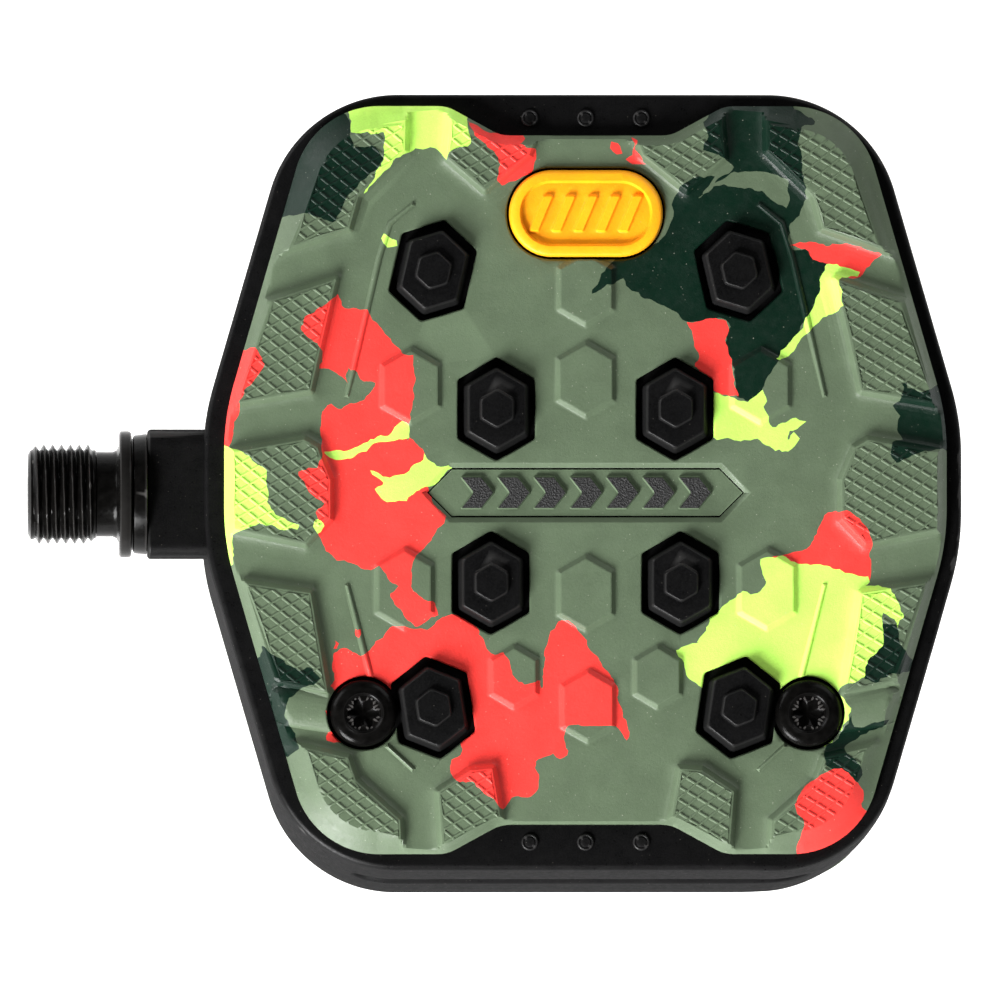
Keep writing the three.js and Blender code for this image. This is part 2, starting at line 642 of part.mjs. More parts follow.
function axle() {
  const profile = [[THREAD_TIP, 0], [THREAD_TIP, THREAD_ROOT - 0.1]];
  const turns = Math.floor((THREAD_END - THREAD_TIP) / THREAD_PITCH);
  for (let i = 0; i < turns; i += 1) {
    const x = THREAD_TIP + 0.4 + i * THREAD_PITCH;
    const crest = i === 0 ? THREAD_CREST - 0.3 : THREAD_CREST;
    profile.push([x, THREAD_ROOT], [x + THREAD_PITCH / 2, crest]);
  }
  profile.push(
    [THREAD_END, NECK], [-0.9, NECK], [-0.3, NECK + 0.25], [0, NECK + 0.8],
    [0, FLANGE - 0.3], [0.3, FLANGE], [FLANGE_END - 0.2, FLANGE], [FLANGE_END, FLANGE - 0.2],
    [FLANGE_END, COLLAR - 0.3], [FLANGE_END + 0.2, COLLAR], [COLLAR_END, COLLAR],
    [COLLAR_END, JOURNAL], [JOURNAL_END, JOURNAL],
    [SHAFT_START, SHAFT], [BEARING_START - 1.6, SHAFT], [BEARING_START - 1.6, SPIGOT + 0.9],
    [BEARING_START, SPIGOT + 0.9], [BEARING_START, SPIGOT - SLIP],
    [AXLE_END - 0.5, SPIGOT - SLIP], [AXLE_END, SPIGOT - 0.6], [AXLE_END, 0],
  );
  const corner = HEX_SOCKET / Math.sqrt(3);
  const socket = new THREE.CylinderGeometry(corner, corner, SOCKET_DEPTH + 2, 6);
  socket.rotateZ(Math.PI / 2).translate(THREAD_TIP - 1 + SOCKET_DEPTH / 2, 0, 0);
  return solid(turned(profile)).subtract(solid(socket));
}

// Ring seal in the mouth of the boss, with a lip that leans on the axle.
function lipSeal() {
  const end = BUSH_START - 0.2;
  return turned([
    [SEAL_START, JOURNAL + 0.35], [SEAL_START + 0.8, JOURNAL + SLIP], [SEAL_START + 1.1, JOURNAL + SLIP],
    [end, JOURNAL + 0.3], [end, BUSH_OUTER], [SEAL_START, BUSH_OUTER], [SEAL_START, JOURNAL + 0.35],
  ]);
}

// Ring of a ball bearing, with its ball groove either in its outer or in its inner wall. The groove's
// radius is large enough for the flats between its points to clear the balls.
function race(inner, outer, grooveAtOuter) {
  const middle = (BEARING_START + BEARING_END) / 2;
  const r = BALL + 0.13;
  const steps = 3;
  const wall = grooveAtOuter ? outer : inner;
  const sign = grooveAtOuter ? 1 : -1;
  const dip = Math.abs(BALL_PITCH - wall);
  const half = Math.acos(Math.min(1, dip / r));
  const groove = [];
  for (let i = 0; i <= steps; i += 1) {
    const angle = -half + 2 * half * i / steps;
    groove.push([middle + r * Math.sin(angle), BALL_PITCH - sign * r * Math.cos(angle)]);
  }
  const start = BEARING_START + 0.1;
  const end = BEARING_END - 0.1;
  const plain = grooveAtOuter ? inner : outer;
  return turned([[start, plain], [start, wall], ...groove, [end, wall], [end, plain], [start, plain]]);
}

// Window cage between the races.
function bearingCage() {
  const middle = (BEARING_START + BEARING_END) / 2;
  const blank = solid(ring(middle - 1.7, middle + 1.7, BALL_PITCH - 0.2, BALL_PITCH + 0.25));
  const windows = ballPlaces().map((place, i) => {
    const window = new THREE.CylinderGeometry(BALL + 0.16, BALL + 0.16, 3, 8);
    window.rotateX(i / BALLS * 2 * Math.PI);
    return solid(window.translate(...place));
  });
  return cut(blank, windows);
}

function ballPlaces() {
  const middle = (BEARING_START + BEARING_END) / 2;
  const places = [];
  for (let i = 0; i < BALLS; i += 1) {
    const angle = i / BALLS * 2 * Math.PI;
    places.push([middle, BALL_PITCH * Math.cos(angle), BALL_PITCH * Math.sin(angle)]);
  }
  return places;
}

function lockNut() {
  const corner = NUT_ACROSS / Math.sqrt(3);
  const body = new THREE.CylinderGeometry(corner, corner, NUT_LENGTH, 6);
  body.rotateZ(Math.PI / 2).translate(NUT_START + NUT_LENGTH / 2, 0, 0);
  const bore = rod(NUT_START - 1, NUT_START + NUT_LENGTH + 1, SPIGOT + SLIP, SMALL_TURNED);
  return solid(body).subtract(solid(bore));
}

function endCap() {
  const r = CAP_BORE - SLIP;
  const groove = CAP_START + 1.6;
  const blank = solid(turned([
    [CAP_START, 0], [CAP_START, r - 0.4], [CAP_START + 0.4, r], [groove, r], [groove, r - 0.75],
    [groove + 1.1, r - 0.75], [groove + 1.1, r], [CAP_END - 0.3, r], [CAP_END, r - 0.3], [CAP_END, 0],
  ]));
  const key = 5 / Math.sqrt(3);
  const socket = new THREE.CylinderGeometry(key, key, 4, 6);
  return blank.subtract(solid(socket.rotateZ(Math.PI / 2).translate(CAP_END, 0, 0)));
}

// O-ring in the end cap's groove.
function capRing() {
  const tube = 0.36;
  const centre = CAP_BORE - SLIP - 0.33;
  const facets = 6;
  const profile = [];
  for (let i = 0; i <= facets; i += 1) {
    const angle = i / facets * 2 * Math.PI;
    profile.push([CAP_START + 2.15 + tube * Math.sin(angle), centre + tube * Math.cos(angle)]);
  }
  profile[facets] = [...profile[0]];
  return turned(profile, SMALL_TURNED);
}

// ---- assembly -----------------------------------------------------------------------------------

const pedal = new THREE.Group();

function place(name, shape, material) {
  const geometry = shape.isBufferGeometry ? closed(shape) : geometryOf(shape);
  const mesh = new THREE.Mesh(geometry, material);
  mesh.name = name;
  pedal.add(mesh);
  return mesh;
}

// A piece of the top face and its twin on the bottom face, turned half a turn about the axle.
function placeOnBothFaces(name, shape, material) {
  place(`${name}_top`, shape, material);
  place(`${name}_bottom`, shape, material).rotation.x = Math.PI;
}

place('pedal_body', pedalBody(), COMPOSITE);
placeOnBothFaces('tread_pad', treadPad(), TREAD_RUBBER);
placeOnBothFaces('badge', badge(), BADGE_RUBBER);
placeOnBothFaces('grip_strip', gripStrip(), GRIT);
screwPlaces.forEach(([x, y], i) => {
  const side = i === 0 ? 'inner' : 'outer';
  placeOnBothFaces(`pad_screw_${side}`, padScrew(x, y), BLACK_STEEL);
  placeOnBothFaces(`threaded_insert_${side}`, threadedInsert(x, y), BRASS);
});

place('axle', axle(), BLACK_STEEL);
place('lip_seal', lipSeal(), SEAL_RUBBER);
place('axle_bush', ring(BUSH_START, BUSH_END, JOURNAL + SLIP, BUSH_OUTER), BEARING_POLYMER);
place('bearing_inner_race', race(RACE_INNER, BALL_PITCH - 0.45, true), BRIGHT_STEEL);
place('bearing_outer_race', race(BALL_PITCH + 0.5, RACE_OUTER, false), BRIGHT_STEEL);
place('bearing_cage', bearingCage(), NYLON);
ballPlaces().forEach(([x, y, z], i) => {
  const ball = place(`bearing_ball_${i + 1}`, new THREE.SphereGeometry(BALL, 8, 6), BRIGHT_STEEL);
  ball.position.set(x, y, z);
});
const washer = ring(BEARING_END + 0.1, NUT_START - 0.2, SPIGOT + SLIP, WASHER_OUTER, SMALL_TURNED);
place('axle_washer', washer, BRIGHT_STEEL);
place('lock_nut', lockNut(), BRIGHT_STEEL);
place('end_cap', endCap(), COMPOSITE);
place('end_cap_o_ring', capRing(), SEAL_RUBBER);

export default pedal;
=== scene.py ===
"""Looks of a double-sided flat mountain-bike pedal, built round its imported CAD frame.

Everything is drawn in millimetres in the pedal's own frame and scaled to metres when a mesh is
made: +X along the axle away from the crank, +Y towards the top edge, +Z out of the top face. The
bottom face is the top face turned half a turn about the axle.
"""

import math

import bmesh
import bpy
import numpy as np
from mathutils import Matrix, Vector, noise
from mathutils.geometry import delaunay_2d_cdt


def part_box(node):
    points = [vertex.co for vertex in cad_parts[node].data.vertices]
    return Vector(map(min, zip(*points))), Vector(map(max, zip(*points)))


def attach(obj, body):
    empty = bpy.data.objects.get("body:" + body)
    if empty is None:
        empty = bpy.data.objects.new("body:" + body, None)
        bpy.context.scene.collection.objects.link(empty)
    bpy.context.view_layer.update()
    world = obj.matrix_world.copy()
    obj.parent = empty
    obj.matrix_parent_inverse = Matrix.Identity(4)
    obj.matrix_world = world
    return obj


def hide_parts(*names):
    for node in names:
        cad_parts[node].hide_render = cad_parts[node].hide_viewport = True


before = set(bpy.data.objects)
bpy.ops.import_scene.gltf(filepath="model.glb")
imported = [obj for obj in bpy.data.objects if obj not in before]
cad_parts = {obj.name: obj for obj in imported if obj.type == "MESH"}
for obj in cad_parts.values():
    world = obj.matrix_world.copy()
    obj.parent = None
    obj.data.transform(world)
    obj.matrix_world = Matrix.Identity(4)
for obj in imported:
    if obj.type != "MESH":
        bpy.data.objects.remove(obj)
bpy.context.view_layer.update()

MM = 0.001
TAU = 2 * math.pi
BLOCK = 3000                # places whose distances are worked out at a time

# ---- sizes read from the frame, in millimetres ------------------------------------------------


def node_box(node):
    low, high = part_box(node)
    return np.array(low) / MM, np.array(high) / MM


PAD_LOW, PAD_HIGH = node_box("tread_pad_top")
PAD_X, PAD_Y = (PAD_LOW + PAD_HIGH)[:2] / 2
PAD_HALF_WIDTH, PAD_HALF_LENGTH = (PAD_HIGH - PAD_LOW)[:2] / 2
LUG_TOP = PAD_HIGH[2]
BODY_LOW, BODY_HIGH = node_box("pedal_body")
BOSS_START = BODY_LOW[0]
THREAD_TIP = node_box("axle")[0][0]
AXLE_END = node_box("axle")[1][0]
FLANGE = node_box("axle")[1][2]
CAP_START, CAP_END = node_box("end_cap")[0][0], node_box("end_cap")[1][0]
CAP_RADIUS = node_box("end_cap")[1][2]
BADGE_LOW, BADGE_HIGH = node_box("badge_top")
STRIP_LOW, STRIP_HIGH = node_box("grip_strip_top")
SCREW_HEAD_TOP = node_box("pad_screw_inner_top")[1][2]
SCREW_CENTRES = [sum(node_box(f"pad_screw_{side}_top"))[:2] / 2 for side in ("inner", "outer")]
SCREW_RADIUS = (node_box("pad_screw_inner_top")[1][0] - node_box("pad_screw_inner_top")[0][0]) / 2
BUSH_RADIUS = node_box("axle_bush")[1][2]

# ---- sizes of the platform --------------------------------------------------------------------

HALF_WIDTH = 54.4           # platform, along X
HALF_LENGTH = 55.7          # platform, along Y, before its levels slide
SHEAR = 0.27                # every level slides along Y by this much of its height
CENTRE_X = BODY_HIGH[0] - HALF_WIDTH
SIDE_FLAT = 9.0
CORNER_X = 40.8
CORNER_ROUND = 19.0
SIDE_ROUND = 35.0
CORNER_EASE = (22.0, 44.0)  # the outboard corners depart from the plain slide between these X
CORNER_OUT = 0.8
CORNER_IN = 1.3
PLATE_TOP = 6.6
RIM_ROUND = 0.9
RIM_STEPS = 7
RIM_FLAT = 3.5              # inset at which the rings of the rim end in the flat faces
GRID_PITCH = 6.0            # the flat faces are cut into cells of this size
GROOVE_REACH = 31.0
GROOVE_POINT = 4.0
# rings of the groove, (depth, height past its ends, extra height along it)
GROOVE_RINGS = [(0.0, 0.50, 1.15), (0.10, 0.40, 0.95), (0.35, 0.30, 0.75), (1.1, 0.20, 0.4)]
BOSS_HALF_WIDTH = 9.3
BOSS_HALF_HEIGHT = 6.2
BOSS_ROUND = 2.2
BOSS_END = 16.0
BOSS_MOUTH = [(0.0, 0.4), (0.08, 0.2), (0.2, 0.06), (0.4, 0.0)]   # its rounding, (along, inset)
BORE_GAP = 0.08             # room round a piece that sits in a bore
SEAT_GAP = 0.3              # room behind the bush and the bearing
CUT_PAST = 1.0              # reach of a cutter past the face that it opens
MOUTH_FLARE = (0.25, 1.3)   # depth and extra radius of the tunnel's flare at the crank side
TUNNEL_RADIUS = 4.7         # bore of the body between the bush and the bearing
CAP_BORE = CAP_RADIUS + BORE_GAP
BUSH_END = 26.0
BEARING_START = 104.0

# studs, [x, y from the pad's centre, lean in degrees]
STUDS = [
    (-21.9, 30.0, -13.0), (21.9, 30.0, 13.0),
    (-12.8, 10.2, 0.0), (12.8, 10.2, 0.0),
    (-13.6, -14.7, 0.0), (13.6, -14.7, 0.0),
    (-21.9, -32.6, 8.4), (21.9, -32.6, -8.4),
]
STUD_HOLE = (11.1, 14.9)
STUD_ROUND = 0.7
# rings of a stud, (across, along, height above the plate, slide along Y)
STUD_RINGS = [
    (9.6, 12.9, -0.8, -0.3), (9.6, 12.9, 0.0, -0.3), (9.4, 12.7, 0.25, -0.3), (8.56, 11.82, 3.15, -0.02),
    (8.5, 11.75, 3.35, 0.0), (8.36, 11.58, 3.6, 0.0), (8.16, 11.34, 3.77, 0.0), (7.92, 11.06, 3.86, 0.0),
    (7.7, 10.8, 3.9, 0.0), (7.4, 10.5, 3.9, 0.0), (5.4, 6.15, 3.9, 0.0), (5.1, 5.85, 3.9, 0.0),
    (5.0, 5.75, 3.95, 0.0), (4.8, 5.55, 4.45, 0.0), (4.6, 5.35, 4.62, 0.0), (4.35, 5.1, 4.7, 0.0),
    (4.1, 4.85, 4.7, 0.0), (3.7, 4.45, 4.7, 0.0),
]
PIPS = (-8.0, 0.0, 8.0)
PIP_Y = 51.9
# rings of a pip, (radius, height above the plate)
PIP_RINGS = [(0.0, -0.5), (1.25, -0.5), (1.25, 0.0), (1.15, 0.32), (1.0, 0.42), (0.86, 0.34), (0.74, 0.34),
             (0.66, 0.46), (0.5, 0.5), (0.0, 0.5)]
POST_RADIUS = 4.3           # post of the body that each pad screw's head rests on
POST_TOP = 7.9
POST_ROUND = 0.3
POST_SINK = 0.5             # depth of a post's foot in the plate
INSERT_SINK = 0.6           # depth of a brass insert below the post's top, and room under it
SHANK_BORE = 2.1

# ---- sizes of the tread, from the pad's centre ------------------------------------------------

PAD_BOTTOM = 6.62
PAD_FLOOR = 8.3
EDGE_TOP = 7.4              # height at which the pad's edge starts to slope up
EDGE_SLOPE = (1.5, 2.0)     # width of that slope, and what the corners add to it
LUG_FIELD = 9.78            # hatched field of a lug
EDGE_CREASES = (PAD_FLOOR, PAD_FLOOR + 0.5, PAD_FLOOR + 1.12, LUG_FIELD)
LUG_ROUND = 0.7
HEX_ROUND = 0.5
RIDGE = 0.17                # height of the hatch over its field
RIDGE_HALF = (0.23, 0.07)   # half width of a hatch ridge at its foot and crest
HATCH_PITCH = 1.62
HATCH_ANGLES = (31.0, -39.0)
SHORTEST_RIDGE = 0.3
PAD_CORNER_X = 38.9
PAD_CORNER_ROUND = 17.0
NOTCH_FLOOR = 49.4
NOTCH_HALF = 12.2
NOTCH_MOUTH = 19.9
NOTCH_ROUND = 5.0
SCREW_WINDOW = 5.25
BADGE_GAP = 0.35
STRIP_GAP = 0.25

# heights of a lug, a raised hexagon and a rib by distance inwards from the foot
LUG_PROFILE = ((-1.8, -1.0, -0.4, 0.0, 0.42, 0.7, 0.92), (0.0, 0.06, 0.18, 0.40, 1.14, 1.43, 1.48))
HEX_PROFILE = ((-0.45, -0.15, 0.0, 0.55, 0.75), (0.0, 0.03, 0.12, 0.72, 0.78))
RIB_PROFILE = ((0.0, 0.16, 0.34, 0.5), (0.0, 0.22, 0.36, 0.4))
HOLE_PROFILE = ((0.0, 0.12, 0.3), (-0.3, -0.1, 0.0))
TRENCH_PROFILE = ((0.0, 0.15, 0.6, 0.8), (-0.62, -0.58, -0.12, 0.0))

SIDE_LUGS = [
    [(-52, 35), (-44.3, 31.8), (-33.4, 35.5), (-32.0, 40.4), (-25.3, 46.9), (-25.1, 60), (-52, 60)],
    [(-34.9, 29.8), (-60, 21.5), (-60, 8.6), (-38.9, 12.2)],
    [(-40.3, 6.5), (-60, 3.0), (-60, -5.8), (-39.9, -9.9), (-36, -5.8), (-36, 0.2), (-38, 5.1)],
    [(-38.9, -15.6), (-60, -12.4), (-60, -33.2), (-45, -29.3), (-36.2, -31.4)],
    [(-60, -32.2), (-41, -37.5), (-33.6, -39.2), (-32.4, -42.7), (-26.0, -48.4), (-25.4, -60), (-60, -60)],
]
SMALL_LUGS = [
    [(-19.4, 60), (-20.6, 45.9), (-14.5, 40.6), (-7.6, 46.2), (-6.2, 50.0), (-6.2, 60)],
    [(-20.7, -60), (-21.9, -44.3), (-16.8, -40.9), (-12.9, -40.6), (-11.4, -49.5), (-11.0, -60)],
]
# raised hexagons, (x, y, across, along)
CENTRE_HEXES = [(0, 27.4, 8.4, 11.0), (0, 14.4, 8.6, 11.2), (0, -16.2, 8.4, 11.2), (0.3, -32.4, 8.0, 10.8)]
SIDE_HEXES = [(25.1, 13.5, 8.8, 11.2), (26.0, -15.6, 8.6, 12.0), (10.3, -28.2, 7.2, 9.4)]
RIBS = [
    [(-24.9, 39.4), (-28.1, 36.8), (-29.6, 31.9), (-34.2, 12.2)],
    [(-34.2, -15.2), (-30.9, -28.2)],
    [(-28.4, -38.2), (-24.9, -41.4)],
]
# rounded bars that run from each pad screw to the edge
BAR = ((-42.6, -32.2), (-34.0, -33.6))
BAR_RADIUS = 3.1
BAR_HEIGHT = 1.25
BAR_SHARES = (1.0, 0.93, 0.78, 0.55, 0.28)   # creases of a bar, as shares of its radius
RIB_HALF = 0.5
HATCH_MARGIN = 1.1          # distance from a lug's foot at which its hatch ends

# ---- sizes of the badge and the grip strip ----------------------------------------------------

BADGE_BORDER = 1.5
BADGE_SINK = 0.8
BADGE_BARS = (-2, -1, 0, 1, 2)
BADGE_PITCH = 3.2
BADGE_REACH = 2.6           # half the height of a bar
BADGE_LEAN = 1.1            # how far a bar's ends stand to the side of its middle
BADGE_BAR_HALF = 0.75
BADGE_BAR_ROUND = 0.3
BADGE_EDGE = ((0.0, 0.25, 0.6), (-0.7, -0.2, 0.0))   # distances inwards, and heights from the top
BADGE_WALL = 0.35           # run of the slope from the border down to the field
BADGE_BAR = ((-0.3, -0.1, 0.2), (0.0, 0.1, 0.6))
STRIP_RISE = 0.6
STRIP_ROUND = 0.3
CHEVRONS = 7
CHEVRON_PITCH = 5.2
CHEVRON_REACH = 2.4
CHEVRON_SHIFT = -1.0        # of the whole row
# corners of a chevron, (along, share of its reach)
CHEVRON = [(-1.6, 1), (0.3, 0), (-1.6, -1), (1.7, -1), (3.6, 0), (1.7, 1)]
CHEVRON_ROUND = 0.25
CHEVRON_SLOPE = 0.25
CHEVRON_GRIT = 0.2          # inset at which a chevron's grit starts

# ---- sizes of the axle and the cap ------------------------------------------------------------

THREAD_END = -3.4
THREAD_PITCH = 1.27         # 20 threads to the inch
THREAD_CREST = 7.14
THREAD_ROOT = 6.35
THREAD_TOOTH = ((0.0, 0.06, 0.44, 0.56, 0.94, 1.0), (0, 0, 1, 1, 0, 0))   # height over one pitch
THREAD_FADE = (1.6, 1.0)    # length over which the thread grows from the tip and ends at the neck
THREAD_START = THREAD_TIP + 0.4
THREAD_ROWS = 92
AXLE_SIDES = 144
NECK = 6.35
FLANGE_RIM = FLANGE - 0.05
FLANGE_END = 1.8
COLLAR = 8.5
COLLAR_END = 3.98
JOURNAL = 4.2
JOURNAL_END = 28.0
SHAFT = 3.5
SHAFT_START = 33.0
SPIGOT_RADIUS = 2.42
# sections of the axle before and after its thread, (along, radius)
TIP_SECTION = [(THREAD_TIP, 0.0), (THREAD_TIP, THREAD_ROOT - 0.7), (THREAD_TIP + 0.25, THREAD_ROOT - 0.2)]
NECK_SECTION = [
    (THREAD_END + 0.2, NECK - 0.25), (-0.9, NECK - 0.25), (-0.35, NECK), (-0.08, NECK + 0.55),
    (0.0, NECK + 0.9),
]
FLANGE_SECTION = [
    (0.0, FLANGE_RIM - 0.45), (0.1, FLANGE_RIM - 0.16), (0.3, FLANGE_RIM), (1.3, FLANGE_RIM),
    (1.62, FLANGE_RIM - 0.1), (FLANGE_END, FLANGE_RIM - 0.35),
]
COLLAR_SECTION = [
    (FLANGE_END, COLLAR - 0.5), (FLANGE_END + 0.15, COLLAR - 0.5), (FLANGE_END + 0.3, COLLAR - 0.08),
    (FLANGE_END + 0.45, COLLAR), (COLLAR_END - 0.5, COLLAR + 0.15), (COLLAR_END - 0.1, COLLAR + 0.2),
    (COLLAR_END, COLLAR + 0.1),
]
SHAFT_SECTION = [
    (COLLAR_END, JOURNAL), (JOURNAL_END, JOURNAL), (SHAFT_START, SHAFT), (BEARING_START - 1.6, SHAFT),
    (BEARING_START - 1.6, SHAFT - 0.1), (BEARING_START, SHAFT - 0.1), (BEARING_START, SPIGOT_RADIUS),
    (AXLE_END - 0.5, SPIGOT_RADIUS), (AXLE_END, SPIGOT_RADIUS - 0.5), (AXLE_END, 0.0),
]
SOCKET_DEPTH = 9.0
AXLE_KEY = 8.0
CAP_KEY = 5.0
CAP_KEY_DEPTH = 2.0
CAP_GROOVE = CAP_START + 1.6
CAP_SECTION = [
    (CAP_START, 0.0), (CAP_START, CAP_RADIUS - 0.4), (CAP_START + 0.4, CAP_RADIUS), (CAP_GROOVE, CAP_RADIUS),
    (CAP_GROOVE, CAP_RADIUS - 0.75), (CAP_GROOVE + 1.1, CAP_RADIUS - 0.75), (CAP_GROOVE + 1.1, CAP_RADIUS),
    (CAP_END - 0.3, CAP_RADIUS), (CAP_END - 0.1, CAP_RADIUS - 0.1), (CAP_END, CAP_RADIUS - 0.3),
    (CAP_END, CAP_RADIUS - 1.1), (CAP_END - 0.25, CAP_RADIUS - 1.3), (CAP_END - 0.25, CAP_RADIUS - 1.7),
    (CAP_END, CAP_RADIUS - 1.9), (CAP_END, 0.0),
]

# ---- sizes of the pad screws ------------------------------------------------------------------

SCREW_SEAT = POST_TOP + 0.05
SCREW_TIP = node_box("pad_screw_inner_top")[0][2]
SCREW_POINT = (0.4, 1.5)                # length of the point and its end's radius
SCREW_SHANK = 1.9
SCREW_SIDE = SCREW_SEAT + 0.62          # height at which the head's side starts to round over
SCREW_SHOULDER = SCREW_HEAD_TOP - 0.12  # height at which the round ends
SCREW_CROWN = 3.15                      # radius at which the round ends
SCREW_STEPS = 8
# foot of the head, (height above the seat, depth below the head's radius)
SCREW_FOOT = [(0.0, 0.25), (0.12, 0.05), (0.3, 0.0), (0.62, 0.0)]
# crown and dish of the head, (depth below its top, radius)
SCREW_DISH = [(0.02, 3.0), (0.0, 2.9), (0.04, 2.78), (0.3, 2.55), (0.34, 2.5), (0.34, 0.0)]
STAR_REACH, STAR_WAVE, STAR_LOBES, STAR_POINTS = 1.92, 0.30, 6, 72
# rings of the six-lobed drive, (scale, height)
DRIVE_RINGS = [
    (0.25, SCREW_SEAT + 0.2), (1.0, SCREW_SEAT + 0.75), (1.0, SCREW_HEAD_TOP - 0.52),
    (1.09, SCREW_HEAD_TOP - 0.3), (1.09, SCREW_HEAD_TOP + CUT_PAST),
]

# ---- camera and light -------------------------------------------------------------------------

VIEW_CENTRE = (54.5, -0.85, 8.0)
VIEW_DISTANCE = 3000.0
VIEW_WIDTH = 143.3          # millimetres across the picture at the view's centre
VIEW_LEAN_X = -1.8          # degrees from straight above, towards the crank
VIEW_LEAN_Y = -0.3
SENSOR = 36.0

VIEW_CLIP = (0.05, 20.0)    # metres

FLOOR_GAP = 6.0             # between the floor and the platform as it spins
FLOOR_HALF = 3000.0
FLOOR_GLOW = 0.88
SKY_STRENGTH = 1.0
# brightness of the surroundings by height on the dome
SKY = ((0.0, 0.7), (0.2, 0.55), (0.45, 0.14), (0.75, 0.02), (1.0, 0.012))
# soft lights: name, compass angle, height in degrees, distance, size, power
PANELS = [
    ("key", 236.0, 28.0, 1100.0, 450.0, 36.0),
    ("side", 150.0, 24.0, 1100.0, 600.0, 7.0),
    ("back", 50.0, 30.0, 1200.0, 700.0, 5.0),
]

# ---- linear colours and gloss -----------------------------------------------------------------

RUBBER_GLOSS = 0.24
COMPOSITE_GLOSS = 0.09
STEEL_GLOSS = 0.05
STEEL_COAT = 0.02
STEEL_COAT_ROUGHNESS = 0.16
RUBBER_DUST = (0.55, 0.56, 0.46, 1)
COMPOSITE_CLOUDS = (0.0020, 0.0020, 0.0021, 1), (0.0040, 0.0039, 0.0040, 1)
COMPOSITE_GRAIN = (0.0062, 0.0062, 0.0064, 1)
# colour of the composite's convex edges: partly rubbed wear, partly a painted highlight
COMPOSITE_RUB_AND_HIGHLIGHT = (0.055, 0.054, 0.053, 1)
COMPOSITE_DUST = (0.16, 0.15, 0.13, 1)
GRIT_COLOURS = (0.022, 0.022, 0.022, 1), (0.003, 0.003, 0.003, 1)
STEEL_CLOUDS = (0.0018, 0.0017, 0.0016, 1), (0.0038, 0.0036, 0.0034, 1)
# colour of the steel's convex edges: partly rubbed wear, partly a painted highlight
STEEL_RUB_AND_HIGHLIGHT = (0.09, 0.086, 0.082, 1)
FLOOR_CLOUDS = (0.50, 0.50, 0.50, 1), (0.54, 0.54, 0.54, 1)
RUBBERS = {                 # the rubbers in the tread's mix
    "sage": (0.090, 0.124, 0.075),
    "dark": (0.0015, 0.0125, 0.0065),
    "red": (0.80, 0.046, 0.038),
    "neon": (0.50, 0.88, 0.13),
}

WAVE = (0.8, 0.5)           # frequency and size of the waves along a patch's edge
TEAR = (2.6, 0.28)          # the same for its fine tears
RAGGED = 0.75               # strength of both
PATCH_SEED = 3.7

